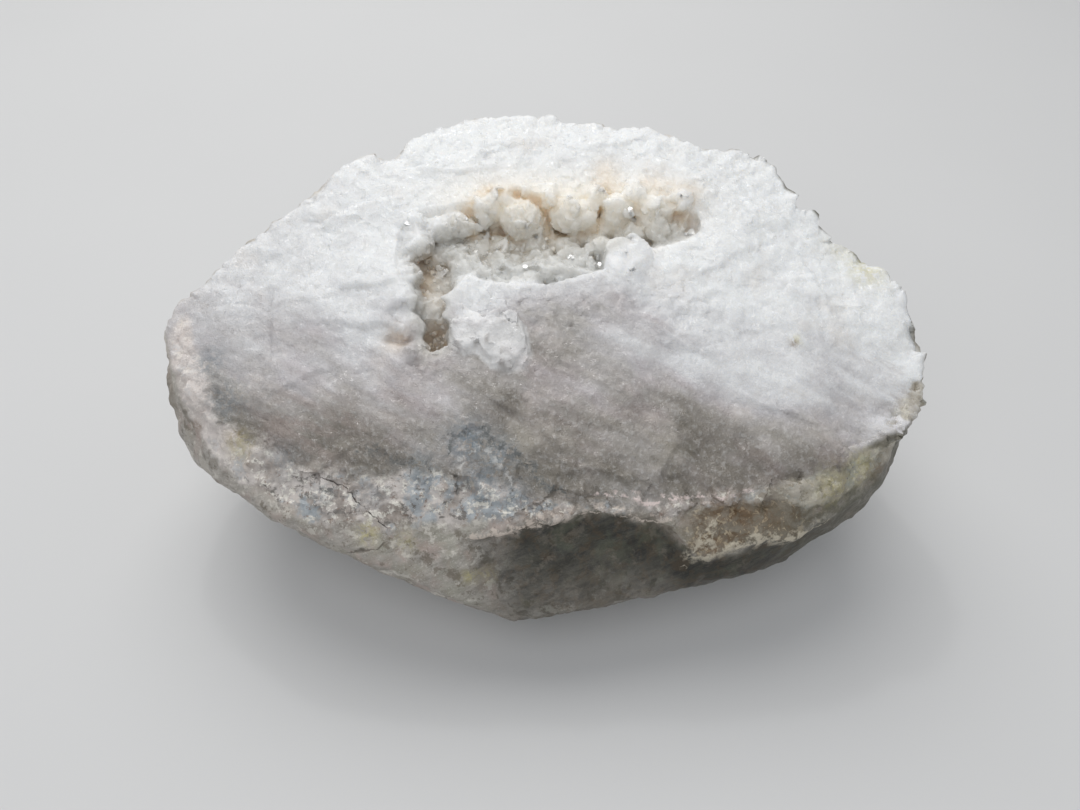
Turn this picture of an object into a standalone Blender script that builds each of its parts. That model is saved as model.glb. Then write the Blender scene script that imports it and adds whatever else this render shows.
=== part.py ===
"""Half of a natural quartz geode, resting on its rounded underside with the broken face up.

The stone is one piece. Its outside is a weathered rind that swells from the broken rim to a
belly and tucks in to a flat foot. The broken face slopes down towards the front. Near its
middle a hooked vug, lined with knobs of small crystals, runs along under an overhanging back
wall and turns forward to a deep hole.

Frame: +X along the long side, +Y to the back, where the stone is highest, and +Z up. The
origin is the middle of the bounding box, on the surface that the stone rests on.
"""

import bmesh
import bpy
import numpy as np
from math import radians

MM = 0.001  # the tables below are in millimetres

# The stone is set out round an upright axis, in a working frame whose origin is shifted to
# the middle of the bounding box at the end.
AXIS_X, AXIS_Y = 0.0, 12.0

# The broken rim, where the face meets the rind: azimuth from +X in degrees, radius.
RIM = [
    (0, 61.0), (8, 57.5), (15, 52.0), (28, 48.5), (34, 50.0), (46, 42.0), (60, 38.5),
    (85, 38.0), (105, 38.5), (125, 41.0), (134, 40.5), (142, 45.0), (156, 47.0),
    (164, 52.0), (176, 59.5), (182, 64.0), (192, 60.5), (202, 55.0), (214, 46.0),
    (232, 37.0), (246, 31.5), (262, 31.5), (285, 33.0), (308, 39.5), (324, 49.0),
    (336, 56.0), (344, 62.5), (352, 62.5),
]

# The rind below the rim: azimuth, belly radius, belly height, foot radius.
RIND = [
    (0, 63, 33, 38), (20, 58, 36, 34), (40, 51, 36, 28), (65, 42, 38, 23),
    (90, 42, 38, 21), (115, 44, 37, 23), (140, 49, 36, 28), (160, 58, 35, 35),
    (178, 65, 33, 40), (191, 65, 29, 40), (201, 61, 25, 38), (218, 55, 22, 35),
    (232, 49, 18, 31), (249, 44, 15, 28), (265, 42, 15, 27), (283, 42, 16, 28),
    (303, 45, 18, 30), (316, 50, 21, 33), (328, 55, 25, 36), (342, 62, 29, 38),
]

# Broad planes that weathering and old breaks left on the rind: a point and an outward normal.
FLATS = [
    ((-30, -20, 20), (-0.42, -0.70, -0.58)),
    ((18, -24, 14), (0.20, -0.76, -0.62)),
    ((50, -6, 16), (0.62, -0.36, -0.70)),
    ((-52, 6, 14), (-0.70, 0.05, -0.71)),
    ((20, 46, 22), (0.25, 0.80, -0.55)),
    ((-24, 44, 20), (-0.35, 0.72, -0.60)),
    ((52, 22, 20), (0.74, 0.30, -0.60)),
]

# The vug's hollows, from the deep hole at the front round to the right end:
# middle x, y, z, half length, half width, half height.
VUG = [
    (-18.2, 6.2, 40.5, 3.7, 5.4, 8.5),
    (-19.2, 12.5, 43.0, 4.1, 5.5, 7.5),
    (-20.5, 20.0, 45.5, 5.0, 6.5, 7.0),
    (-13.5, 26.0, 46.0, 7.0, 5.6, 6.0),
    (-4.5, 27.2, 46.2, 7.5, 6.4, 6.0),
    (5.0, 27.8, 46.8, 7.5, 6.2, 5.6),
    (13.5, 28.6, 48.2, 6.5, 5.2, 5.0),
    (21.5, 29.2, 50.0, 5.0, 4.0, 4.2),
]

# The mouth of the vug, where the face dips into it: x, y, half length, half width, depth.
MOUTH = [
    (-3.0, 22.0, 19.0, 7.5, 6.5),
    (-19.5, 20.0, 6.5, 9.0, 3.5),
    (15.0, 27.0, 12.0, 4.5, 2.5),
]

# Knobs of crystals that stand up from the face and hang from the vug's wall: x, y, z, radius.
KNOBS = [
    (-10.2, 3.6, 42.4, 4.8), (-6.2, 6.5, 44.0, 4.6), (-11.2, 8.6, 42.8, 4.0),
    (12.5, 18.2, 47.4, 4.6), (16.8, 19.6, 48.2, 4.0),
    (-9.0, 33.0, 52.0, 4.2), (-2.6, 33.2, 51.6, 4.6), (4.4, 33.4, 51.6, 4.8),
    (10.8, 33.6, 52.2, 4.0), (16.6, 33.4, 52.6, 4.4),
]

STEPS_ROUND = 100  # points round each ring
RIND_RINGS = 12  # from the foot to the rim
FACE_RINGS = 19  # from the rim to the axis
SEED = 11


def lattice(seed):
    """A shuffled table of 256 numbers and 256 unit directions, for the noise."""
    rng = np.random.RandomState(seed)
    table = rng.permutation(256)
    heading = rng.uniform(-1, 1, (256, 3))
    return np.concatenate([table, table]), heading / np.linalg.norm(heading, axis=1)[:, None]


TABLE, HEADING = lattice(SEED)


def noise(points, size):
    """Smooth gradient noise, about -1 to 1, with features of that size."""
    p = np.asarray(points, float) / size
    cell = np.floor(p).astype(int)
    f = p - cell
    w = f * f * f * (f * (f * 6 - 15) + 10)
    total = 0.0
    for corner in range(8):
        step = np.array([corner & 1, corner >> 1 & 1, corner >> 2 & 1])
        c = (cell + step) & 255
        pick = TABLE[TABLE[TABLE[c[..., 0]] + c[..., 1]] + c[..., 2]]
        value = (HEADING[pick] * (f - step)).sum(-1)
        weight = np.where(step == 1, w, 1 - w).prod(-1)
        total = total + value * weight
    return total * 1.6


def around(azimuth, stations, column):
    """A station table's column at any azimuth, smooth and closed."""
    at = np.array([s[0] for s in stations], float)
    value = np.array([s[column] for s in stations], float)
    a = np.asarray(azimuth, float) % 360
    at = np.concatenate([at - 360, at, at + 360])
    value = np.tile(value, 3)
    i = np.clip(np.searchsorted(at, a, side="right") - 1, 1, len(at) - 3)
    t = (a - at[i]) / (at[i + 1] - at[i])
    m0 = (value[i + 1] - value[i - 1]) / (at[i + 1] - at[i - 1]) * (at[i + 1] - at[i])
    m1 = (value[i + 2] - value[i]) / (at[i + 2] - at[i]) * (at[i + 1] - at[i])
    t2, t3 = t * t, t * t * t
    return (
        (2 * t3 - 3 * t2 + 1) * value[i]
        + (t3 - 2 * t2 + t) * m0
        + (3 * t2 - 2 * t3) * value[i + 1]
        + (t3 - t2) * m1
    )


def smooth_min(a, b, k):
    h = np.clip(0.5 + 0.5 * (b - a) / k, 0, 1)
    return b * (1 - h) + a * h - k * h * (1 - h)


def broad_face(x, y):
    """Height of the broken face without its vug: a front slope and a flatter back."""
    front = 33 + 0.46 * (y + 20)
    back = 51 + 0.24 * (y - 14)
    return smooth_min(front, back, 6.0) - 0.0009 * x * x


def face_height(x, y):
    """Height of the broken face, with the mouth of the vug."""
    z = broad_face(x, y)
    for mx, my, half_x, half_y, depth in MOUTH:
        q = ((x - mx) / half_x) ** 2 + ((y - my) / half_y) ** 2
        z = z - depth * np.clip(1 - q, 0, 1) ** 0.8
    return z


def rind_radius(azimuth, z, top):
    """How far the rind stands from the axis at height z, under a rim at height top."""
    rim = around(azimuth, RIM, 1)
    belly = around(azimuth, RIND, 1)
    height = around(azimuth, RIND, 2)
    foot = around(azimuth, RIND, 3)
    up = np.clip((z - height) / (top - height), 0, 1)
    down = np.clip(1 - z / height, 0, 1)
    above = belly + (rim - belly) * up**1.7
    below = foot + (belly - foot) * np.sqrt(np.clip(1 - down**2.2, 0, 1))
    return np.where(z > height, above, below)


def press_flats(points):
    """Moves each point that stands proud of a flat back onto it, softly."""
    for at, normal in FLATS:
        n = np.array(normal, float)
        n /= np.linalg.norm(n)
        proud = (points - np.array(at, float)) @ n
        points = points - np.outer(np.where(proud > 0, proud * 0.75, 0), n)
    return points


def rough(points, outward, amount):
    """Gives the surface the lumps of a natural stone."""
    lump = 1.1 * noise(points, 17.0) + 0.55 * noise(points + 40, 8.0)
    return points + outward * (lump * amount)[:, None]


def ring_points():
    """The rings of the closed skin, from the foot up the rind and in over the face."""
    azimuth = np.arange(STEPS_ROUND) * 360.0 / STEPS_ROUND
    c, s = np.cos(np.radians(azimuth)), np.sin(np.radians(azimuth))
    rim = around(azimuth, RIM, 1)
    rim_z = broad_face(AXIS_X + rim * c, AXIS_Y + rim * s)
    level = np.stack([c, s, 0 * c], -1)
    foot = around(azimuth, RIND, 3)
    rings = [np.stack([AXIS_X + 0.6 * foot * c, AXIS_Y + 0.6 * foot * s, 0 * c], -1)]
    for k in range(RIND_RINGS):
        share = k / (RIND_RINGS - 1)
        z = rim_z * share**1.25
        r = rind_radius(azimuth, z, rim_z)
        p = np.stack([AXIS_X + r * c, AXIS_Y + r * s, z], -1)
        if k:
            p = rough(press_flats(p), level, np.full(STEPS_ROUND, min(1.0, 3 * share)))
            p[:, 2] = np.maximum(p[:, 2], rings[-1][:, 2] + 0.4)
        rings.append(p)
    for k in range(1, FACE_RINGS):
        share = 1 - k / FACE_RINGS
        x, y = AXIS_X + rim * share * c, AXIS_Y + rim * share * s
        p = np.stack([x, y, face_height(x, y)], -1)
        rings.append(rough(p, np.array([[0.0, 0.0, 1.0]]), np.full(STEPS_ROUND, 0.7)))
    return rings


def add_skin(bm, rings):
    """Joins the rings into one closed skin, with a flat foot and a middle point on the face."""
    loops = [[bm.verts.new(p * MM) for p in ring] for ring in rings]
    for lower, upper in zip(loops, loops[1:]):
        for i in range(STEPS_ROUND):
            j = (i + 1) % STEPS_ROUND
            bm.faces.new((lower[i], lower[j], upper[j], upper[i]))
    bm.faces.new(list(reversed(loops[0])))
    x, y = AXIS_X, AXIS_Y
    top = bm.verts.new((x * MM, y * MM, float(face_height(x, y)) * MM))
    for i in range(STEPS_ROUND):
        bm.faces.new((loops[-1][i], loops[-1][(i + 1) % STEPS_ROUND], top))
    bmesh.ops.triangulate(bm, faces=bm.faces)


def new_object(name, bm):
    bmesh.ops.recalc_face_normals(bm, faces=bm.faces)
    mesh = bpy.data.meshes.new(name)
    bm.to_mesh(mesh)
    bm.free()
    obj = bpy.data.objects.new(name, mesh)
    bpy.context.scene.collection.objects.link(obj)
    return obj


def lumpy_ball(name, middle, half, detail, lumps):
    """A rounded, slightly lumpy ball, which a Boolean uses and a render leaves out."""
    bm = bmesh.new()
    bmesh.ops.create_icosphere(bm, subdivisions=detail, radius=1.0)
    for v in bm.verts:
        at = np.array(v.co[:]) * half
        at = at * (1 + lumps * float(noise(at + middle, 5.0))) + middle
        v.co = at * MM
    obj = new_object(name, bm)
    obj.hide_render = True
    obj.display_type = "WIRE"
    return obj


def boolean(obj, other, operation):
    m = obj.modifiers.new(other.name, "BOOLEAN")
    m.operation, m.solver, m.object = operation, "EXACT", other


def milky_quartz():
    """White quartz, a little warm, with the soft gloss of a broken face."""
    material = bpy.data.materials.new("milky_quartz")
    material.use_nodes = True
    shader = material.node_tree.nodes["Principled BSDF"]
    shader.inputs["Base Color"].default_value = (0.78, 0.77, 0.75, 1)
    shader.inputs["Roughness"].default_value = 0.45
    shader.inputs["Metallic"].default_value = 0.0
    return material


def main():
    for obj in list(bpy.data.objects):
        bpy.data.objects.remove(obj)
    bm = bmesh.new()
    rings = ring_points()
    points = np.concatenate(rings)
    middle = (points[:, :2].min(0) + points[:, :2].max(0)) / 2
    add_skin(bm, rings)
    stone = new_object("geode_half", bm)
    for i, hollow in enumerate(VUG):
        ball = lumpy_ball(f"vug_{i:02d}", hollow[:3], hollow[3:], 3, 0.10)
        boolean(stone, ball, "DIFFERENCE")
    for i, (x, y, z, r) in enumerate(KNOBS):
        ball = lumpy_ball(f"knob_{i:02d}", (x, y, z), (r, r, r), 2, 0.09)
        boolean(stone, ball, "UNION")
    stone.data.materials.append(milky_quartz())
    stone.data.shade_smooth()
    stone.data.set_sharp_from_angle(angle=radians(35))
    set_down = bpy.data.objects.new("set_down", None)
    bpy.context.scene.collection.objects.link(set_down)
    for obj in bpy.data.objects:
        if obj is not set_down:
            obj.parent = set_down
    set_down.location = (-middle[0] * MM, -middle[1] * MM, 0)


main()
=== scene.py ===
"""Looks of the geode half: broken milky quartz, its weathered rind and the crystals in its vug.

The stone is one closed skin. It is drawn from the same form as the solid (rim, belly, foot,
broken face, vug), as the zero surface of a field, which then gets its ledges, chips, grain and
crystals. Small crystals on the vug's wall and floor are joined meshes grown out of the skin.

Lengths are in millimetres in the stone's working frame, until a mesh is made.
"""

from concurrent.futures import ThreadPoolExecutor
from math import pi, radians

import bpy
import numpy as np
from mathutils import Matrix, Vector


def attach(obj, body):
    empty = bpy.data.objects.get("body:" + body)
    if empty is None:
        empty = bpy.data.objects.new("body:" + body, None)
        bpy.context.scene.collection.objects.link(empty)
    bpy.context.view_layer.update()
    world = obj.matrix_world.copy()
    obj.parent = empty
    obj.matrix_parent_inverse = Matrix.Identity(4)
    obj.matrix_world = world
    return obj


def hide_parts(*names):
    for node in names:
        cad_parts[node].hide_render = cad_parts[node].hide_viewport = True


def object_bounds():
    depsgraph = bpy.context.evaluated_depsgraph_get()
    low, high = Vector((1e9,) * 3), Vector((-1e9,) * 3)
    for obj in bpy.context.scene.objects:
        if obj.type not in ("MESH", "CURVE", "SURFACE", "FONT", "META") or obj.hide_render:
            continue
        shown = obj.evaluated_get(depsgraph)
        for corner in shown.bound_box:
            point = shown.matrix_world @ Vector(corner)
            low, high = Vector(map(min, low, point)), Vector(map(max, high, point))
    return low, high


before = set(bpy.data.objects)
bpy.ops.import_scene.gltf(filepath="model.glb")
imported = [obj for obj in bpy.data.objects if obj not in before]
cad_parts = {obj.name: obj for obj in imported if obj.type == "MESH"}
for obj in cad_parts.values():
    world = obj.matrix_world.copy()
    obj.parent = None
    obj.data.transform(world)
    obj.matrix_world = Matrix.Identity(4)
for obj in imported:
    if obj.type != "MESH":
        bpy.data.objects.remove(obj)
CAD_LOW, CAD_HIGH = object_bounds()

MM = 0.001
SHIFT = np.array([0.988, -12.348, 0.0])  # working frame to the row's frame
AXIS_X, AXIS_Y = 0.0, 12.0
STEP = 0.32  # grid step of the skin
STONE_TRIS = 196000
F = np.float32

# ---------------------------------------------------------------- form, as in the solid

RIM = [
    (0, 61.0), (8, 57.5), (15, 52.0), (28, 48.5), (34, 50.0), (46, 42.0), (60, 38.5),
    (85, 38.0), (105, 38.5), (125, 41.0), (134, 40.5), (142, 45.0), (156, 47.0),
    (164, 52.0), (176, 59.5), (182, 64.0), (192, 60.5), (202, 55.0), (214, 46.0),
    (232, 37.0), (246, 31.5), (262, 31.5), (285, 33.0), (308, 39.5), (324, 49.0),
    (336, 56.0), (344, 62.5), (352, 62.5),
]
RIND = [
    (0, 63, 33, 38), (20, 58, 36, 34), (40, 51, 36, 28), (65, 42, 38, 23),
    (90, 42, 38, 21), (115, 44, 37, 23), (140, 49, 36, 28), (160, 58, 35, 35),
    (178, 65, 33, 40), (191, 65, 29, 40), (201, 61, 25, 38), (218, 55, 22, 35),
    (232, 49, 18, 31), (249, 44, 15, 28), (265, 42, 15, 27), (283, 42, 16, 28),
    (303, 45, 18, 30), (316, 50, 21, 33), (328, 55, 25, 36), (342, 62, 29, 38),
]
FLATS = [
    ((-30, -20, 20), (-0.42, -0.70, -0.58)),
    ((18, -24, 14), (0.20, -0.76, -0.62)),
    ((50, -6, 16), (0.62, -0.36, -0.70)),
    ((-52, 6, 14), (-0.70, 0.05, -0.71)),
    ((20, 46, 22), (0.25, 0.80, -0.55)),
    ((-24, 44, 20), (-0.35, 0.72, -0.60)),
    ((52, 22, 20), (0.74, 0.30, -0.60)),
]
HOLLOWS = [
    (-18.4, 6.6, 41.8, 2.2, 3.9, 5.0), (-19.6, 11.6, 44.9, 2.5, 4.6, 3.2), (-18.8, 16.6, 46.0, 3.2, 4.0, 3.2),
    (-19.6, 20.6, 47.4, 3.4, 4.4, 3.2), (-13.5, 25.2, 47.4, 7.0, 4.6, 3.8),
    (-4.5, 25.6, 47.6, 7.5, 4.6, 3.8), (5.0, 26.0, 48.2, 7.5, 4.6, 3.8),
    (13.5, 26.8, 49.4, 6.5, 4.2, 3.6), (20.4, 27.6, 50.8, 4.6, 2.8, 2.6),
    (25.2, 27.2, 51.0, 2.2, 2.0, 2.4), (-24.6, 5.0, 44.0, 2.6, 1.5, 1.2),
]
MOUTH = [
    (-3.0, 22.0, 19.0, 8.6, 6.5), (-19.5, 20.0, 6.5, 9.4, 3.5), (15.0, 26.0, 12.0, 5.4, 3.0),
]
# Clumps of crystals: x, y, z, half sizes.
CLUMPS = [
    (-4.3, 29.2, 50.4, 3.7, 3.2, 3.6), (4.8, 29.3, 51.0, 4.1, 3.2, 3.2),
    (12.6, 29.7, 51.9, 2.9, 2.8, 2.9), (19.0, 29.9, 51.5, 3.4, 3.0, 3.3),
    (-10.6, 30.4, 52.0, 2.9, 2.6, 2.8), (0.2, 31.2, 53.6, 1.8, 1.8, 1.7),
    (8.8, 31.4, 53.9, 1.6, 1.8, 1.7), (15.8, 31.4, 54.2, 1.8, 1.8, 1.7),
    (-18.6, 27.0, 49.8, 2.4, 2.2, 2.3), (-22.2, 23.6, 49.2, 2.6, 2.6, 2.2),
    (-23.6, 27.0, 51.0, 2.8, 2.4, 2.0), (-14.8, 28.4, 49.6, 2.6, 2.0, 2.4),
    (24.0, 31.0, 53.4, 2.2, 2.0, 2.0), (-7.6, 31.2, 53.6, 1.8, 1.7, 1.6),
    (-1.0, 29.0, 48.6, 1.8, 1.6, 1.8), (8.8, 29.2, 49.8, 1.7, 1.6, 1.7),
]

LUMPS = [
    (-2.0, 26.2, 46.3, 2.4, 2.1, 2.1), (-7.8, 26.6, 46.2, 2.8, 2.3, 2.2),
    (3.4, 26.4, 46.8, 2.5, 2.1, 2.0), (8.6, 26.8, 47.4, 2.5, 2.1, 1.9),
    (-12.4, 25.6, 45.8, 3.0, 2.8, 2.4), (-7.0, 22.6, 45.2, 3.6, 3.0, 2.3),
    (-1.0, 22.8, 45.7, 3.3, 2.9, 2.2), (4.8, 23.2, 46.5, 3.1, 2.7, 2.1),
    (10.2, 23.8, 47.6, 3.0, 2.6, 2.1), (-14.2, 21.0, 45.6, 3.2, 3.8, 2.7),
    (-13.0, 15.6, 45.0, 2.7, 3.4, 2.6), (14.8, 26.0, 48.6, 2.4, 2.0, 1.8),
    (19.8, 26.8, 50.0, 2.4, 1.7, 1.5), (-16.6, 24.6, 46.2, 2.6, 2.6, 2.2),
    (-10.2, 19.0, 45.0, 3.0, 2.8, 2.2), (-5.0, 19.6, 45.4, 3.2, 2.6, 2.1),
    (0.6, 20.4, 46.3, 3.0, 2.4, 1.9), (6.0, 20.6, 46.8, 2.8, 2.4, 1.9),
    (-24.0, 12.6, 44.8, 2.6, 3.0, 2.2), (-23.2, 8.0, 43.4, 2.4, 2.6, 2.2),
    (-24.2, 17.2, 46.8, 2.4, 3.0, 2.2), (-18.6, 19.8, 43.6, 3.4, 3.0, 1.8),
    (-20.2, 13.6, 43.0, 3.0, 3.6, 1.8), (-18.6, 24.4, 45.6, 3.2, 2.6, 2.4),
    (-11.6, 28.4, 45.8, 3.4, 2.2, 2.4), (-5.6, 28.4, 45.4, 3.4, 2.2, 2.6), (0.4, 28.4, 45.9, 3.4, 2.2, 2.6),
    (6.4, 28.6, 46.6, 3.4, 2.2, 2.6), (12.2, 28.6, 47.6, 3.4, 2.2, 2.4), (17.6, 28.8, 48.4, 3.4, 2.2, 2.2),
    (22.6, 28.2, 49.0, 2.8, 2.0, 1.8),
]
LIP = [
    (-11.0, 14.6, 44.8, 2.8, 2.0, 2.2), (-8.2, 15.4, 45.0, 2.6, 1.7, 2.1),
    (-5.2, 16.0, 45.4, 2.2, 1.5, 2.0), (-2.4, 17.2, 46.2, 2.0, 1.3, 1.8),
    (0.4, 18.2, 46.9, 2.0, 1.2, 1.6), (3.2, 18.3, 47.0, 2.0, 1.2, 1.6),
    (6.2, 17.6, 46.8, 2.1, 1.3, 1.6), (9.0, 16.6, 46.7, 1.9, 1.4, 1.6),
]
KNOBS = [
    (-5.6, 2.2, 41.6, 2.6, 2.2, 1.9), (-18.6, 1.6, 40.4, 2.6, 1.7, 1.7), (-21.8, 3.2, 41.8, 2.2, 1.8, 1.7),
]
# Flat-topped blocks of white quartz at the vug's front, painted lighter as if lit: middle, direction and height of the
# top, then headings and distances of the sides.
BLOCKS = [
    ((13.3, 19.0, 48.7), (0.05, -0.38, 0.92), 2.3, [(185, 4.0), (222, 4.2), (258, 3.9), (305, 3.4), (25, 5.2), (65, 4.1), (100, 3.4), (137, 4.1)]),
    ((-13.2, 6.2, 44.0), (-0.10, -0.42, 0.92), 1.9, [(10, 3.3), (60, 3.6), (105, 4.2), (150, 3.3), (190, 3.0), (235, 3.4), (275, 3.9), (325, 3.4)]),
    ((-7.4, 4.6, 43.4), (0.06, -0.42, 0.90), 1.9, [(5, 4.6), (45, 4.8), (85, 4.6), (130, 4.6), (178, 4.2), (230, 4.4), (272, 4.4), (312, 4.6)]),
]
# The back's upper tier stands over the clumps. Its front edge: x, y.
TIER = [
    (-26, 29.0), (-20, 29.0), (-15, 29.4), (-12, 30.0), (-9.5, 31.8), (-6, 31.4), (-2, 30.4),
    (2, 29.6), (5, 30.2), (8, 31.6), (10.6, 33.4), (12.6, 32.2), (17, 31.6), (22, 31.4), (27, 30.6), (31, 30.0),
]
# Grooves: radius, then points along them.
GROOVES = [
    (0.8, [(9.9, 33.6, 56.0), (9.4, 31.2, 53.6), (9.0, 28.6, 50.4)]),
    (0.55, [(-14.6, -10.4, 37.2), (-11.6, -9.6, 37.8), (-8.6, -11.6, 37.0), (-5.4, -13.4, 36.2), (-2.4, -16.4, 34.9), (0.2, -18.6, 34.0), (4.0, -20.0, 33.2)]),
    (0.30, [(-38.4, -14.9, 33.4), (-35.5, -15.7, 33.3), (-33.0, -16.8, 33.0), (-31.3, -17.6, 32.6), (-30.3, -18.7, 31.6), (-28.2, -20.2, 30.8), (-26.3, -21.5, 29.8), (-24.9, -22.5, 28.8)]),
    (0.45, [(-31.8, -23.9, 24.2), (-28.4, -24.2, 25.6), (-26.0, -24.2, 26.3), (-25.2, -23.6, 27.2)]),
]
# Chipped edges on the face: x, y, heading of the low side in degrees, half length, height, decay.
EDGES = [
    (-30.0, 7.2, -95, 7.0, 0.9, 6.0), (-31.0, 13.6, -80, 9.0, 0.8, 5.0),
    (-41.0, -2.0, -70, 7.0, 0.7, 5.0), (-24.0, 10.6, -60, 3.0, 0.7, 4.0),
    (10.0, -16.4, -92, 8.0, 0.8, 5.0), (19.0, -14.8, -40, 4.0, 0.6, 4.0),
    (-8.0, -6.0, -120, 9.0, 0.6, 6.0), (22.0, 4.0, -120, 10.0, 0.5, 7.0),
    (36.0, -6.0, -110, 9.0, 0.6, 6.0), (-44.0, 20.0, 130, 6.0, 0.6, 4.0),
    (-33.0, 30.0, 110, 7.0, 0.9, 4.0), (-22.0, 39.0, 100, 6.0, 0.8, 4.0),
    (-6.0, 44.0, 95, 7.0, 0.8, 4.0), (12.0, 42.0, -80, 6.0, 0.6, 4.0),
    (27.0, 37.0, 75, 6.0, 0.7, 4.0), (38.0, 30.0, 60, 6.0, 0.7, 4.0),
    (47.0, 14.0, 20, 6.0, 0.5, 5.0), (30.0, 18.0, -60, 7.0, 0.5, 5.0),
    (-14.0, 36.0, -90, 7.0, 0.7, 4.0), (-46.0, 8.0, 180, 6.0, 0.5, 5.0),
]
# Height of the crust's lower edge over the recessed rind, along the front.
CRUST_X = [-20, -16, -10, -4, 3, 10, 16, 19.0, 23.2, 26, 30, 34, 39, 46, 52, 58]
CRUST_Z = [25.5, 27.2, 27.8, 29.3, 31.0, 31.2, 30.2, 29.4, 24.4, 23.9, 25.0, 25.8, 24.6, 25.4, 27.5, 30.0]


def lattice(seed):
    rng = np.random.RandomState(seed)
    table = rng.permutation(256).astype(np.int32)
    heading = rng.uniform(-1, 1, (256, 3))
    heading /= np.linalg.norm(heading, axis=1)[:, None]
    return np.concatenate([table, table]), heading.astype(F)


TABLE, HEADING = lattice(11)
GX, GY, GZ = (np.ascontiguousarray(HEADING[:, k]) for k in range(3))
SITE = np.random.RandomState(5).uniform(0.08, 0.92, (256, 3)).astype(F)
TILT = np.random.RandomState(6).uniform(-1, 1, (256, 3)).astype(F)


def noise(p, size, seed=0.0):
    """Smooth gradient noise, about -1 to 1, with features of that size."""
    q = np.asarray(p, F) / F(size) + F(seed)
    cell = np.floor(q)
    f = q - cell
    w = f * f * f * (f * (f * 6 - 15) + 10)
    c = cell.astype(np.int32)
    total = 0.0
    for i in (0, 1):
        a = TABLE[(c[:, 0] + i) & 255]
        fx, wx = f[:, 0] - i, (w[:, 0] if i else 1 - w[:, 0])
        for j in (0, 1):
            b = TABLE[a + ((c[:, 1] + j) & 255)]
            fy, wy = f[:, 1] - j, wx * (w[:, 1] if j else 1 - w[:, 1])
            for k in (0, 1):
                h = TABLE[b + ((c[:, 2] + k) & 255)]
                fz, wz = f[:, 2] - k, wy * (w[:, 2] if k else 1 - w[:, 2])
                total = total + wz * (GX[h] * fx + GY[h] * fy + GZ[h] * fz)
    return total * F(1.6)


def layers(p, size, count, seed=0.0, keep=0.5):
    total, share = 0.0, 1.0
    for k in range(count):
        total = total + share * noise(p, size / 2**k, seed + 3.7 * k)
        share *= keep
    return total


def cells(p, size, seed=0):
    """The nearest scattered grain: offset from its middle, its number, and how close its edge is."""
    q = np.asarray(p, F) / F(size)
    c = np.floor(q).astype(np.int32)
    best = np.full(len(q), 1e9, F)
    second = best.copy()
    offset = np.zeros_like(q)
    number = np.zeros(len(q), np.int32)
    for i in (-1, 0, 1):
        a = TABLE[(c[:, 0] + i + seed) & 255]
        for j in (-1, 0, 1):
            b = TABLE[a + ((c[:, 1] + j) & 255)]
            for k in (-1, 0, 1):
                h = TABLE[b + ((c[:, 2] + k) & 255)]
                d = q - (c + np.array([i, j, k]) + SITE[h])
                r = (d * d).sum(1).astype(F)
                near = r < best
                second = np.where(near, best, np.minimum(second, r))
                best = np.where(near, r, best)
                offset[near] = d[near]
                number[near] = h[near]
    return offset * F(size), number, (np.sqrt(second) - np.sqrt(best)) * F(size)


def around(stations, column):
    """A station table's column at each tenth of a degree, smooth and closed."""
    at = np.array([s[0] for s in stations], float)
    value = np.array([s[column] for s in stations], float)
    a = np.arange(3601) / 10.0 % 360
    at = np.concatenate([at - 360, at, at + 360])
    value = np.tile(value, 3)
    i = np.clip(np.searchsorted(at, a, side="right") - 1, 1, len(at) - 3)
    t = (a - at[i]) / (at[i + 1] - at[i])
    m0 = (value[i + 1] - value[i - 1]) / (at[i + 1] - at[i - 1]) * (at[i + 1] - at[i])
    m1 = (value[i + 2] - value[i]) / (at[i + 2] - at[i]) * (at[i + 1] - at[i])
    t2, t3 = t * t, t * t * t
    return (
        (2 * t3 - 3 * t2 + 1) * value[i] + (t3 - 2 * t2 + t) * m0
        + (3 * t2 - 2 * t3) * value[i + 1] + (t3 - t2) * m1
    ).astype(F)


RIM_R = around(RIM, 1)
BELLY_R, BELLY_Z, FOOT_R = (around(RIND, k) for k in (1, 2, 3))


def smooth_min(a, b, k):
    h = np.clip(0.5 + 0.5 * (b - a) / k, 0, 1)
    return b * (1 - h) + a * h - k * h * (1 - h)


def smooth_max(a, b, k):
    return -smooth_min(-a, -b, k)


def ramp(x, low, high):
    t = np.clip((x - low) / (high - low), 0, 1)
    return t * t * (3 - 2 * t)


def to_line(p, points):
    """Distance to a line through points."""
    best = np.full(len(p), 1e9, F)
    pts = np.array(points, F)
    for a, b in zip(pts, pts[1:]):
        ab = b - a
        t = np.clip((p - a) @ ab / (ab @ ab), 0, 1)
        best = np.minimum(best, np.linalg.norm(p - a - t[:, None] * ab, axis=1))
    return best


def blob(p, b):
    """About the distance to an ellipsoid."""
    half = np.array(b[3:6], F)
    q = (p - np.array(b[:3], F)) / half
    r = np.linalg.norm(q, axis=1)
    g = np.linalg.norm(q / half, axis=1)
    return r * (r - 1) / np.maximum(g, 1e-6)


def broad_face(x, y):
    front = 33 + 0.46 * (y + 20)
    back = 51 + 0.24 * (y - 14)
    fall = 0.006 * np.maximum(-6 - y, 0) ** 2
    return smooth_min(front, back, 6.0) - 0.0009 * x * x - fall


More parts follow.
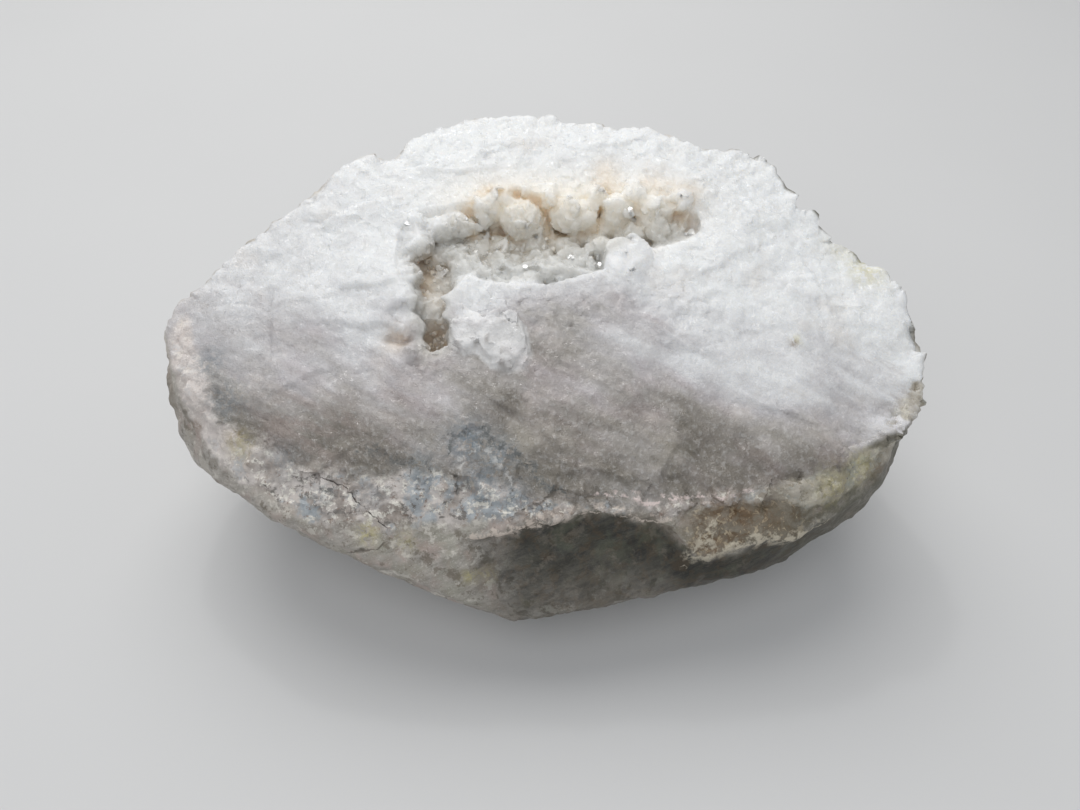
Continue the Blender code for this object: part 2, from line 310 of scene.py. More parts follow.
def face_height(p):
    x, y = p[:, 0], p[:, 1]
    z = broad_face(x, y)
    for mx, my, half_x, half_y, depth in MOUTH:
        v = (y - my) / half_y
        q = ((x - mx) / half_x) ** 2 + np.where(v > 0, v**4, 1.3 * v**2)
        z = z - depth * np.clip(1 - q, 0, 1) ** 0.8
    tier = np.array(TIER, F)
    ragged = 1.3 * noise(p * (1, 0.3, 0), 3.4, 6.1) + 0.6 * noise(p * (1, 0.5, 0), 1.3, 9.7)
    past = y - np.interp(x, tier[:, 0], tier[:, 1]) - ragged
    span = ramp(x, -26, -17) * (1 - ramp(x, 24, 31))
    z = z + span * (0.7 * ramp(past, -0.3, 0.3) * np.exp(-np.maximum(past, 0) / 7) - 0.9 * ramp(-past, -0.3, 0.3) * ramp(past, -9, -3))
    wave = 0.9 * noise(p * (1, 1, 0), 5.0, 2.2)
    for ex, ey, heading, half, high, decay in EDGES:
        c, s = np.cos(radians(heading)), np.sin(radians(heading))
        across = -((x - ex) * c + (y - ey) * s) + wave
        along = (x - ex) * s - (y - ey) * c
        z = z + high * np.exp(-(along / half) ** 2) * np.where(
            across > 0, np.exp(-across / decay), 0
        ) * ramp(across, 0, 0.5)
    return z


def rind_gap(p):
    """About how far a point stands outside the rind."""
    q = np.array(p, F)
    for at, normal in reversed(FLATS):
        n = np.array(normal, F)
        n /= np.linalg.norm(n)
        proud = (q - np.array(at, F)) @ n
        q = q + (3 * np.maximum(proud, 0))[:, None] * n
    dx, dy, z = q[:, 0] - AXIS_X, q[:, 1] - AXIS_Y, q[:, 2]
    rho = np.sqrt(dx * dx + dy * dy) + 1e-6
    at = (np.degrees(np.arctan2(dy, dx)) % 360 * 10).astype(int)
    rim, belly, height, foot = RIM_R[at], BELLY_R[at], BELLY_Z[at], FOOT_R[at]
    top = broad_face(AXIS_X + rim * dx / rho, AXIS_Y + rim * dy / rho)
    up = np.clip((z - height) / (top - height), 0, 1.25)
    above = rho - (belly + (rim - belly) * up**1.7)
    out = np.maximum(rho - foot, 0) / (belly - foot)
    down = np.maximum(1 - z / height, 1e-3)
    r = np.sqrt(out * out + down**2.2)
    slope = np.sqrt((out / (belly - foot)) ** 2 + (1.1 * down**1.2 / height) ** 2) / r
    below = (r - 1) / np.maximum(slope, 1e-4)
    gap = np.where(z > height, above, below)
    share = np.clip(p[:, 2] / top, 0, 1) ** 0.8
    lump = 1.1 * noise(p, 17.0) + 0.55 * noise(p + 40, 8.0)
    gap = gap - lump * np.minimum(1, 3 * share)
    # Below its crust, the front's rind is set back.
    edge = np.interp(p[:, 0], CRUST_X, CRUST_Z) + 0.8 * noise(p, 3.6, 8.0) + 0.15 * noise(p, 1.3, 4.0)
    under = ramp(edge - p[:, 2], -0.3, 1.5) * (1 - 0.75 * ramp(edge - p[:, 2], 3.0, 15.0))
    front = ramp(p[:, 0], -14.5, -9.5) * (1 - ramp(p[:, 0], 40, 58)) * ramp(-p[:, 1], 8, 14)
    front = front * (1 - 0.45 * ramp(p[:, 0], 20, 23))
    brow = np.exp(-(((p[:, 2] - edge - 1.0) / 1.1) ** 2)) * front
    return gap + 1.15 * under * front - 0.45 * brow


def face_gap(p):
    lump = 1.1 * noise(p, 17.0) + 0.55 * noise(p + 40, 8.0)
    return (p[:, 2] - face_height(p) - 0.7 * lump) * 0.93


def near(p, middle, reach):
    return (np.abs(p - np.array(middle, F)) < reach).all(1)


def block_gap(p):
    """About how far a point stands outside the nearest flat-topped block."""
    best = np.full(len(p), 1e9, F)
    for at, top, high, sides in BLOCKS:
        q = p - np.array(at, F)
        gap = q @ (np.array(top, F) / F(np.linalg.norm(top))) - F(high)
        for heading, far in sides:
            n = np.array([np.cos(radians(heading)), np.sin(radians(heading)), 0.22], F) / F(1.024)
            gap = np.maximum(gap, q @ n - F(0.92 * far))
        best = np.minimum(best, np.maximum(gap, -q[:, 2] - 3.6))
    return best


def field(p):
    """Below 0 inside the stone, above 0 outside, about in millimetres."""
    f = smooth_max(rind_gap(p), face_gap(p), 0.5)
    vug = near(p, (2, 20, 47), (33, 23, 12))
    v = p[vug]
    g = f[vug]
    rough = 0.55 * noise(v, 3.6, 1.0) + 0.28 * noise(v, 1.7, 2.0)
    for b in HOLLOWS:
        g = smooth_max(g, -(blob(v, b) + 1.3 * rough), 0.6)
    offset, number, _ = cells(v, 3.3, 5)
    blocky = (offset * TILT[number]).sum(1)
    offset, number, _ = cells(v + 4, 1.9, 9)
    blocky = blocky + 0.8 * (offset * TILT[number]).sum(1)
    for table, knit, bumpy, block in (
        (CLUMPS, 1.1, 0.8, 0.36), (LUMPS, 1.3, 0.6, 0.28), (LIP, 0.9, 0.5, 0.25), (KNOBS, 0.8, 0.8, 0.40),
    ):
        push = bumpy * rough + block * blocky
        for b in table:
            g = smooth_min(g, blob(v, b) - push, knit)
    g = smooth_min(g, block_gap(v) - np.where(v[:, 0] < 0, 0.24, 0.16) * blocky - 0.10 * rough, 0.18)
    f[vug] = g
    for radius, points in GROOVES:
        lo, hi = np.min(points, 0) - 3, np.max(points, 0) + 3
        at = ((p > lo) & (p < hi)).all(1)
        q = p[at]
        f[at] = smooth_max(f[at], radius * (1 + 0.5 * noise(q, 2.0, 5.0)) - to_line(q, points), 0.25)
    return smooth_max(f, -p[:, 2], 0.1)


def spread(function, p, size=60000):
    """A function of points, in pieces on several threads. The pieces keep their order."""
    parts = [p[i : i + size] for i in range(0, len(p), size)]
    with ThreadPoolExecutor(4) as pool:
        return np.concatenate(list(pool.map(function, parts)))


def cluster(table, gap, radius, proud, seed, spray=0.13):
    """Crystals that radiate from the middle of each clump: x, y, z, heading, radius."""
    rng = np.random.RandomState(seed)
    made = []
    for x, y, z, a, b, c in table:
        n = int(4 * pi * (a * b * c) ** (2 / 3) / gap**2)
        k = np.arange(n) + 0.5
        tall, turn = 1 - 2 * k / n, pi * (1 + 5**0.5) * k
        flat = np.sqrt(1 - tall * tall)
        d = np.stack([flat * np.cos(turn), flat * np.sin(turn), tall], 1)
        half = np.array([a, b, c])
        out = 0.6 * d / half * half.mean() + 0.4 * d + rng.normal(0, spray, (n, 3))
        out /= np.linalg.norm(out, axis=1)[:, None]
        r = rng.uniform(*radius, n)
        at = np.array([x, y, z]) + d * half + out * (rng.uniform(*proud, n) - 0.95 * r)[:, None]
        made.append(np.concatenate([at, out, r[:, None]], 1))
    return np.concatenate(made)


# Parts of the broken face that show blocky crystals: x, y of two corners, spacing.
BLOCKY = [
    ((-17, 29.2), (29, 35.5), 2.5), ((-12, 36.5), (24, 42), 3.4), ((-28.5, 9.0), (-21.5, 30.5), 2.7), ((-34, 14.0), (-28.5, 32.0), 3.6),
    ((-18.5, -4.0), (-1.0, 0.6), 2.6), ((-3.0, 4.0), (3.0, 16.0), 3.0), ((19.0, 15.0), (31.0, 27.0), 3.6),
    ((3.0, 8.0), (19.0, 16.0), 3.8),
]


def blocky_crystals(seed=50):
    """Crystals that lie in the broken face with a low point or edge showing."""
    rng = np.random.RandomState(seed)
    made = []
    for (x0, y0), (x1, y1), gap in BLOCKY:
        x, y = np.meshgrid(np.arange(x0, x1, gap), np.arange(y0, y1, gap), indexing="ij")
        p = np.stack([x.ravel(), y.ravel(), np.zeros(x.size)], 1)
        p[:, :2] += rng.uniform(-0.5, 0.5, (len(p), 2)) * gap
        p = p[rng.uniform(0, 1, len(p)) < 0.85]
        for _ in range(3):
            q = p.astype(F)
            p[:, 2] = p[:, 2] - face_gap(q)
        out = np.array([0.0, -0.35, 0.94]) + rng.normal(0, 0.30, p.shape)
        out /= np.linalg.norm(out, axis=1)[:, None]
        r = rng.uniform(0.42, 0.80, len(p)) * min(gap, 2.7)
        proud = rng.uniform(0.2, 0.9, len(p)) if gap == 2.5 else rng.uniform(0.12, 0.55, len(p))
        at = p + out * (proud - 0.95 * r)[:, None]
        made.append(np.concatenate([at, out, r[:, None]], 1))
    return np.concatenate(made)


def grown_crystals():
    """The crystals large enough to be cut into the skin. Buried ones are left out."""
    fan, rest = CLUMPS[:1], CLUMPS[1:]
    made = np.concatenate([
        cluster(fan, 1.05, (0.60, 0.95), (0.35, 0.9), 40, 0.07),
        cluster(rest, 1.65, (1.05, 1.80), (0.30, 0.85), 41),
        cluster(LUMPS, 1.75, (1.00, 1.80), (0.25, 0.75), 42),
        cluster(LIP, 1.60, (0.90, 1.50), (0.25, 0.65), 43),
        cluster(KNOBS[1:], 2.00, (1.20, 2.10), (0.25, 0.75), 44),
        blocky_crystals(),
    ])
    tips = (made[:, :3] + made[:, 3:6] * (made[:, 6:] + 0.5)).astype(F)
    return made[spread(field, tips) > 0.05]


# ---------------------------------------------------------------- skin


def finer(a, axis, count, step):
    """A coarse grid's values at each fine place along one axis."""
    at = np.arange(count) / step
    i = np.minimum(at.astype(int), a.shape[axis] - 2)
    t = (at - i).astype(F)
    shape = [1, 1, 1]
    shape[axis] = count
    t = t.reshape(shape)
    return np.take(a, i, axis) * (1 - t) + np.take(a, i + 1, axis) * t


def prism_planes(out, radius, rng):
    """The planes of a six-sided crystal with a six-faced point: directions and distances."""
    side = np.cross(out, (0, 0, 1.0) if abs(out[2]) < 0.9 else (1.0, 0, 0))
    side /= np.linalg.norm(side)
    other = np.cross(out, side)
    a = rng.uniform(0, pi / 3) + np.arange(6) * pi / 3
    flank = side * np.cos(a)[:, None] + other * np.sin(a)[:, None]
    point = 0.786 * flank + 0.618 * out
    reach = np.concatenate([
        radius * rng.uniform(0.86, 1.10, 6),
        radius * (0.70 + 0.16 * np.tile([1, -1], 3) * rng.choice([-1, 1]) + rng.uniform(-0.08, 0.08, 6)),
        [3.0],
    ])
    return np.concatenate([flank, point, [-out]]).astype(F), reach.astype(F)


def grow(value, axes, step):
    """Crystals joined to the stone, cut into its grid of values."""
    rng = np.random.RandomState(17)
    for x, y, z, dx, dy, dz, radius in GROWN:
        out = np.array([dx, dy, dz])
        planes, reach = prism_planes(out, radius, rng)
        lo = [max(int((c - 2.9 - a[0]) / step), 0) for c, a in zip((x, y, z), axes)]
        hi = [min(int((c + 2.9 - a[0]) / step) + 2, len(a)) for c, a in zip((x, y, z), axes)]
        box = tuple(slice(l, h) for l, h in zip(lo, hi))
        q = np.stack(np.meshgrid(*[a[b] for a, b in zip(axes, box)], indexing="ij"), -1) - (x, y, z)
        gap = (q.reshape(-1, 3).astype(F) @ planes.T - reach).max(1).reshape(q.shape[:3])
        value[box] = smooth_min(value[box], gap, 0.14)


def skin(low, high, step):
    """The field's zero surface as points and quads, one point to each crossed cell."""
    low, high = np.array(low, F), np.array(high, F)
    coarse = 4
    counts = (np.ceil((high - low) / step / coarse).astype(int)) * coarse + 1
    axes = [low[k] + step * np.arange(counts[k]) for k in range(3)]
    grid = np.stack(np.meshgrid(*[a[::coarse] for a in axes], indexing="ij"), -1)
    rough = spread(field, grid.reshape(-1, 3).astype(F)).reshape(grid.shape[:3])
    full = rough
    for k in range(3):
        full = finer(full, k, counts[k], coarse)
    value = np.clip(full, -4, 4).astype(F)
    band = np.argwhere(np.abs(full) < 1.9)
    where = np.stack([axes[k][band[:, k]] for k in range(3)], -1).astype(F)
    value[tuple(band.T)] = spread(field, where)
    grow(value, axes, step)
    inside = value < 0
    n = [c - 1 for c in counts]
    crossed = np.zeros(n, np.uint8)
    corners = [(i, j, k) for i in (0, 1) for j in (0, 1) for k in (0, 1)]
    for i, j, k in corners:
        crossed += inside[i : i + n[0], j : j + n[1], k : k + n[2]]
    cell = np.argwhere((crossed > 0) & (crossed < 8))
    number = np.full(n, -1, np.int32)
    number[tuple(cell.T)] = np.arange(len(cell))
    corner = np.stack([value[cell[:, 0] + i, cell[:, 1] + j, cell[:, 2] + k] for i, j, k in corners], 1)
    total, count = np.zeros((len(cell), 3), F), np.zeros(len(cell), F)
    for a in range(8):
        for b in range(a + 1, 8):
            va, vb = np.array(corners[a]), np.array(corners[b])
            if np.abs(va - vb).sum() != 1:
                continue
            fa, fb = corner[:, a], corner[:, b]
            cut = (fa < 0) != (fb < 0)
            t = np.where(cut, fa / np.where(cut, fa - fb, 1), 0)[:, None]
            total += np.where(cut[:, None], va + t * (vb - va), 0)
            count += cut
    points = low + step * (cell + total / count[:, None])
    quads = []
    for axis in range(3):
        u, v = (axis + 1) % 3, (axis + 2) % 3
        first = [slice(None)] * 3
        first[axis] = slice(0, -1)
        second = list(first)
        second[axis] = slice(1, None)
        a, b = inside[tuple(first)], inside[tuple(second)]
        edge = np.argwhere(a != b)
        edge = edge[(edge[:, u] > 0) & (edge[:, v] > 0) & (edge[:, u] < n[u]) & (edge[:, v] < n[v])]
        ring = []
        for du, dv in ((-1, -1), (0, -1), (0, 0), (-1, 0)):
            e = edge.copy()
            e[:, u] += du
            e[:, v] += dv
            ring.append(number[tuple(e.T)])
        quad = np.stack(ring, 1)
        turned = ~a[tuple(edge.T)]
        quad[turned] = quad[turned][:, ::-1]
        quads.append(quad)
    return points.astype(F), np.concatenate(quads)


def point_normals(points, faces):
    a, b = points[faces[:, 2]] - points[faces[:, 0]], points[faces[:, -1]] - points[faces[:, 1]]
    n = np.cross(a, b)
    total = np.zeros_like(points, dtype=float)
    for k in range(faces.shape[1]):
        for axis in range(3):
            total[:, axis] += np.bincount(faces[:, k], n[:, axis], len(points))
    return (total / np.maximum(np.linalg.norm(total, axis=1), 1e-9)[:, None]).astype(F)


def mesh_of(name, points, faces):
    """A mesh from points in the working frame."""
    mesh = bpy.data.meshes.new(name)
    count, sides = faces.shape
    mesh.vertices.add(len(points))
    mesh.vertices.foreach_set("co", ((points + SHIFT) * MM).astype(F).ravel())
    mesh.loops.add(count * sides)
    mesh.loops.foreach_set("vertex_index", faces.astype(np.int32).ravel())
    mesh.polygons.add(count)
    mesh.polygons.foreach_set("loop_start", np.arange(0, count * sides, sides, dtype=np.int32))
    mesh.update(calc_edges=True)
    mesh.validate()
    return mesh


def points_of(mesh):
    co = np.empty(len(mesh.vertices) * 3, F)
    mesh.vertices.foreach_get("co", co)
    return co.reshape(-1, 3) / F(MM) - SHIFT.astype(F)


def shown(name, mesh):
    obj = bpy.data.objects.new(name, mesh)
    bpy.context.scene.collection.objects.link(obj)
    return obj


def attribute(mesh, name, values):
    layer = mesh.attributes.new(name, "FLOAT", "POINT")
    layer.data.foreach_set("value", np.asarray(values, F))


# ---------------------------------------------------------------- grain and marks

STREAK = np.array([0.86, -0.50, -0.12], F)  # run of the streaks on the front of the face


def sides_of(p):
    """How much a point belongs to the rind, 0 on the broken face to 1 on the rind."""
    return ramp(rind_gap(p) - face_gap(p), -0.5, 0.7)


def stretched(p, along, ratio):
    """Points squeezed along a direction, so that noise on them runs that way."""
    return p - np.outer(p @ along, along) * (1 - 1 / ratio)


def relief(p):
    """Fine height of the surface: chips and grain on the face, wear on the rind."""
    rind = sides_of(p)
    x, y, z = p.T
    vug = np.zeros(len(p), F)
    for b in HOLLOWS[:9]:
        vug = np.maximum(vug, ramp(-blob(p, b), -3.2, -0.6))
    for table in (CLUMPS, KNOBS, LIP):
        for b in table:
            vug = np.maximum(vug, ramp(-blob(p, b), -1.2, -0.2))
    offset, number, edge = cells(p, 2.3)
    big = (offset * TILT[number]).sum(1)
    offset, number, edge = cells(p + 9, 1.25, 31)
    small = (offset * TILT[number]).sum(1)
    radial = np.stack([x - AXIS_X, y - AXIS_Y, 0 * z], 1)
    rho = np.linalg.norm(radial, axis=1) + 1e-6
    at = np.degrees(np.arctan2(radial[:, 1], radial[:, 0]))
    share = rho / RIM_R[(at % 360 * 10).astype(int)]
    fans = noise(np.stack([at * 0.9, rho * 0.12, z * 0.3], 1), 1.6, 3.0)
    fibre = 0.20 * fans * ramp(share, 0.70, 0.92)
    patch = 0.5 + 0.5 * noise(p, 9.0, 15.0)
    front = ramp(-y, -14, 4)
    much = (0.07 + 0.11 * patch) * (1 - 0.5 * front) * (1 - vug) + 0.09 * vug
    chips = much * (0.9 * big + 1.1 * small)
    hummocks = 0.42 * layers(p, 8.0, 2, 1.3) + 0.08 * layers(p, 3.0, 3, 4.1) * (1 - 0.3 * front)
    streaks = 0.24 * layers(stretched(p, STREAK, 7.0), 1.6, 2, 6.0) * ramp(-y, -16, 2)
    face = chips + hummocks * (1 - 0.85 * vug) + fibre * (1 - vug) + streaks
    offset, number, edge = cells(p + 3 + 1.5 * noise(p, 6.0, 40.0)[:, None], 5.4, 61)
    plates = np.clip((offset * TILT[number]).sum(1), -2.2, 1.6) * ramp(edge, 0, 2.2)
    plates = plates * (0.25 + 0.75 * ramp(y, -12, 4)) * ramp(z, 1, 10)
    worn = 0.26 * plates + 0.42 * layers(p, 5.5, 3, 7.7) + 0.14 * layers(p, 2.2, 2, 44.0)
    worn = worn + 0.09 * noise(stretched(p, np.array([0.92, 0, 0.39], F), 7.0), 1.1, 2.0)
    pits = -0.18 * ramp(noise(p, 1.3, 9.0), 0.35, 0.8)
    crusty = BANDS(p)
    offset, number, edge = cells(p, 1.7, 77)
    knobbly = crusty * (0.30 * ramp(edge, 0, 0.7) - 0.18 + 0.30 * layers(p, 2.4, 2, 12.0))
    rim = np.exp(-(((rind_gap(p) - face_gap(p)) / 1.6) ** 2)) * (1 - vug)
    total = face * (1 - rind) * (1 - 0.5 * crusty) + (worn + pits) * rind + knobbly
    offset, number, _ = cells(p, 5.0, 51)
    broken = 0.30 * (offset * TILT[number]).sum(1) * (0.4 + ramp(x, 25, 50))
    total = total + rim * (0.45 * layers(p, 3.2, 3, 21.0) + 0.35 * noise(p, 7.0, 22.0) + broken)
    return total * (1 - 0.8 * ramp(-block_gap(p), -0.6, 0.3))


BAND = [
    (-61, 9, 42, 2.5), (-60, 3, 40, 3.6), (-58, -2, 37, 4.0), (-54, -7, 34, 4.0), (-48, -12, 32.5, 4.5),
    (-41, -16, 31.5, 5.0), (-34, -18.5, 31, 5.5), (-27, -19.5, 31.2, 5.5), (-20, -19, 32, 5.5),
    (-13, -19, 32, 5.5), (-6, -20, 31.3, 3.8), (2, -21.5, 31.8, 2.3), (10, -21.2, 32, 1.9), (17, -21.5, 31.2, 1.9),
    (25, -19.5, 32.2, 1.7), (33, -18.5, 32.2, 1.8), (41, -17.2, 31.5, 3.0), (48, -14.2, 31.0, 3.6),
    (55, -8.5, 33, 3.6), (60.5, -3, 36, 3.2), (62.2, 1, 38.4, 1.8),
]


def BANDS(p):
    """The porcelain-like crust along the rim."""
    best = np.zeros(len(p), F)
    table = np.array(BAND, F)
    for a, b in zip(table, table[1:]):
        ab = b[:3] - a[:3]
        t = np.clip((p - a[:3]) @ ab / (ab @ ab), 0, 1)
        r = a[3] + t * (b[3] - a[3])
        d = np.linalg.norm(p - a[:3] - t[:, None] * ab, axis=1)
        best = np.maximum(best, np.exp(-((d / r) ** 2) * 1.3))
    return best


def along_line(p, points, up):
    """Signed distance from a line on a surface that faces up, and a window that closes at its ends."""
    pts = np.array(points, F)
    run = np.concatenate([[0], np.cumsum(np.linalg.norm(np.diff(pts, axis=0), axis=1))])
    best = np.full(len(p), 1e9, F)
    u, s = np.full(len(p), 9.0, F), np.zeros(len(p), F)
    for k, (a, b) in enumerate(zip(pts, pts[1:])):
        ab = b - a
        t = (p - a) @ ab / (ab @ ab)
        t = np.clip(t, -1.0 if k == 0 else 0.0, 2.0 if k == len(pts) - 2 else 1.0)
        d = np.linalg.norm(p - a - np.clip(t, 0, 1)[:, None] * ab, axis=1)
        near_it = d < best
        best = np.where(near_it, d, best)
        side = np.sign((p - a) @ np.cross(ab, np.array(up, F)))
        u = np.where(near_it, side * d, u)
        s = np.where(near_it, (run[k] + t * (run[k + 1] - run[k])) / run[-1], s)
    window = np.clip(1 - (2 * s - 1) ** 2, 0, 1) ** 0.35
    return np.clip(u, -6, 6), window * (1 - ramp(best, 2.0, 3.0))


def spots(p, table):
    """Soft spots, each x, y, z, radius, strength."""
    total = np.zeros(len(p), F)
    for x, y, z, r, strength in table:
        d = p - np.array([x, y, z], F)
        total = np.maximum(total, strength * np.exp(-(d * d).sum(1) / (r * r)))
    return total


HOLE = [(-18.4, 6.0, 38.0, 3.8, 1.0), (-18.6, 9.5, 40.5, 3.0, 0.6), (-19.2, 14, 42.5, 3.4, 0.4), (-21, 20.5, 45, 4.0, 0.4), (-24.6, 5, 43.4, 2.2, 0.6), (25.0, 29.4, 49.2, 2.2, 0.5)]
# Ochre tint, and painted shade along the tier's edge, under the clumps and between them: radius, strength, points.
OCHRE_AND_PAINTED_SHADE = [
    (1.2, 0.8, [(-13.6, 29.6, 52.6), (-10.4, 31.8, 54.6), (-6.0, 31.2, 54.6), (-1.4, 30.2, 53.8), (1.6, 29.8, 53.6)]),
    (1.0, 0.9, [(10.2, 33.4, 56.0), (9.2, 30.4, 53.4), (8.8, 28.0, 50.4), (8.6, 27.2, 48.6)]),
    (1.3, 0.9, [(-13.5, 28.2, 47.4), (-8, 28.6, 46.8), (-4, 27.8, 46.6), (0, 28.0, 47.0), (4.8, 28.0, 47.6), (9, 28.4, 48.2), (14, 28.8, 48.8), (20, 29.0, 49.4)]),
    (1.0, 0.8, [(-14.4, 28.8, 51.0), (-13.0, 27.6, 48.4)]), (0.9, 0.7, [(-0.2, 29.8, 52.6), (0.2, 28.6, 50.4), (0.4, 27.8, 48.4)]),
    (0.9, 0.6, [(15.9, 30.4, 53.4), (15.8, 29.0, 50.8)]), (1.5, 0.5, [(22.6, 29.4, 52.0), (24.6, 28.6, 51.0)]),
    (2.4, 0.4, [(10.6, 37.0, 56.6), (10.8, 33.0, 55.6)]), (2.0, 0.35, [(18, 33.5, 55.0), (26, 32.0, 54.0)]),
    (1.3, 0.5, [(-21.6, 25.0, 48.4), (-20.6, 20.0, 45.0), (-21.4, 15.4, 43.8)]),
]
BLUE = [(-12.5, -11.5, 37, 3.4, 1.0), (-8, -13.5, 36, 3.4, 0.8), (-10, -17, 34, 3.6, 0.7), (-5, -18.5, 33, 2.8, 0.5), (-20, -14.5, 35, 3.0, 0.5), (-56, 3, 40, 3.0, 0.6), (-52, -3, 37.5, 4, 0.5), (-27, -18, 32, 2.6, 0.45), (-35, -17.5, 31, 2.6, 0.5), (-42, -13, 33.5, 3.0, 0.4)]
YELLOW = [(-28.0, -22.6, 28.0, 1.6, 0.8), (-22.0, -23.8, 27.2, 1.8, 0.35), (-12.0, -27.4, 22.5, 1.2, 0.8), (-9.4, -27.2, 22.9, 1.2, 0.7), (55.6, 19.6, 47.4, 3.6, 0.55), (52, 24, 48.5, 3, 0.35), (45, -16.4, 31.6, 3.2, 0.4), (50, -13, 32.4, 3, 0.45), (-49.5, -10.2, 34.6, 2.2, 0.5), (41.2, 5.2, 43.3, 0.9, 0.5)]
RUST = [(26.7, -20.1, 31.2, 2.4, 0.6), (30.7, -20.4, 30.2, 2.6, 0.7), (35, -20.4, 29.2, 2.6, 0.5), (26.5, -23.6, 25.2, 1.6, 1.0), (23.5, -23.2, 26.2, 1.4, 0.6), (54, -11.5, 30.5, 1.6, 0.5), (-57.4, -4.8, 33.6, 1.1, 0.8), (-50, -9, 35, 1.6, 0.4), (-3.2, -20.6, 31.4, 2.2, 0.4), (40.6, 4.5, 43.0, 0.7, 0.9)]
GREY = [(-41, -7, 37, 5, 0.8), (-33, -7.5, 37.5, 5.0, 0.6), (-37, -11.5, 35.5, 5, 0.7), (-24, -5, 38.5, 4, 0.35), (-48, -2, 38, 4, 0.4), (-44, 8, 43, 5, 0.35), (58, -4, 37.5, 4, 0.5), (56, 2, 40.5, 4, 0.3)]
FRONT_UP = (-0.1, -0.75, 0.65)
LINES = {
    "crack": [(-38.4, -14.9, 33.4), (-35.5, -15.7, 33.3), (-33.0, -16.8, 33.0), (-31.3, -17.6, 32.6), (-30.3, -18.7, 31.6), (-28.2, -20.2, 30.8), (-26.3, -21.5, 29.8), (-24.9, -22.5, 28.8)],
    "nick": [(-31.8, -23.9, 24.2), (-28.4, -24.2, 25.6), (-26.0, -24.2, 26.3), (-25.2, -23.6, 27.2)],
    "ledge": [(-12.0, -23.6, 27.6), (-8.0, -23.6, 28.2), (-3.9, -23.2, 29.2), (2.7, -22.0, 30.9), (7.2, -21.4, 31.3), (9.8, -21.3, 31.2), (13.4, -21.8, 30.3), (16.9, -22.1, 30.0), (19.5, -21.8, 30.3)],
    "pink": [(6.6, -19.4, 33.2), (12.0, -19.2, 33.1), (15.8, -20.5, 32.1), (18.5, -20.0, 32.7), (22.0, -19.6, 32.7), (25.9, -19.4, 32.6), (32.9, -18.4, 32.9)],
    "vee": [(27.0, -20.8, 30.2), (25.1, -21.9, 28.6), (23.9, -23.5, 26.2), (22.4, -24.8, 24.4), (25.3, -24.4, 23.9), (29.8, -23.6, 25.1), (34.4, -22.4, 25.8), (38.7, -21.6, 24.5), (45.7, -18.4, 25.3)],
    "edge": [(51.5, -6.6, 36.8), (54.0, -6.4, 36.8), (56.3, -6.8, 36.2), (57.2, -9.6, 34.8), (55, -11.2, 34.2)],
    "arc": [(-30.6, -13.2, 35.6), (-28.0, -12.6, 36.0), (-25.0, -13.4, 35.6), (-22.4, -15.0, 34.8)],
    "vein": [(-14.2, -17.0, 34.0), (-13.0, -13.6, 36.0), (-10.6, -12.4, 36.6), (-7.6, -14.6, 35.4), (-5.4, -17.6, 33.6)],
    "gash": [(-15.5, -13.2, 36.0), (-14.6, -10.4, 37.2), (-11.6, -9.6, 37.8), (-8.6, -11.6, 37.0), (-5.4, -13.4, 36.2), (-2.4, -16.4, 34.9), (0.2, -18.6, 34.0), (4.0, -20.0, 33.2)],
}


def stains_and_painted_light_and_shade(p, mesh):
    """Colour that lies in the cavity, on the stone and its crystals alike: stains, painted shade along the ochre lines
    and painted light in the deep hollows.
    """
    x, y, z = p.T
    attribute(mesh, "hole", spots(p, HOLE))
    ochre_and_painted_shade = np.zeros(len(p), F)
    for radius, strength, points in OCHRE_AND_PAINTED_SHADE:
        ochre_and_painted_shade = np.maximum(ochre_and_painted_shade, strength * np.exp(-((to_line(p, points) / radius) ** 2)))
    attribute(mesh, "ochre_and_painted_shade", ochre_and_painted_shade)
    attribute(mesh, "cream", np.exp(-(((x - 4) / 21) ** 4 + ((y - 30.5) / 5.5) ** 2 + ((z - 51.5) / 6) ** 2)))
    inside = np.zeros(len(p), F)
    for b in HOLLOWS[:9]:
        inside = np.maximum(inside, ramp(-blob(p, b), -2.4, 0.2))
    mouth = 1 - ((x + 3.0) / 19.0) ** 2 - ((y - 22.4) / 7.4) ** 2
    attribute(mesh, "vug", np.maximum(inside, 0.85 * ramp(mouth, 0.0, 0.35) * ramp(z, 30, 38)))
    # Depth in the hollows. The colour put there is painted light, near white and warm, standing in for light that
    # comes through the stone.
    attribute(mesh, "deep", inside * ramp(broad_face(x, y) - z, 2.5, 9.0))


def face_grey_and_painted_shade(p):
    """How grey the broken face is, from 0 at the bright back to 1 at its low front edge: partly the quartz's own grey,
    partly painted shade on the front, which tilts away from the light behind.
    """
    x, y = p[:, 0], p[:, 1]
    wander = p + 3.0 * np.stack([noise(p, 14.0, k) for k in (31.0, 32.0, 33.0)], 1)
    slant = wander[:, 1] + 0.20 * np.maximum(wander[:, 0] - 5, 0)
    base = ramp(-slant, -19, 14) * (1 - 0.22 * ramp(12 - wander[:, 0], 25, 60))
    base = base + 0.29 * ramp(-x, 20, 58)
    base = base + 0.30 * np.exp(-(((x - 1) / 14) ** 2) - ((y - 5) / 7) ** 2)
    base = base + 0.30 * np.exp(-(((x - 8) / 16) ** 2) - ((y - 10) / 6) ** 2)
    patch = 0.24 * layers(stretched(p, STREAK, 2.6), 11.0, 4, 3.0, 0.55) * ramp(-y, -24, -4)
    return np.clip(base + patch, 0, 1.1)


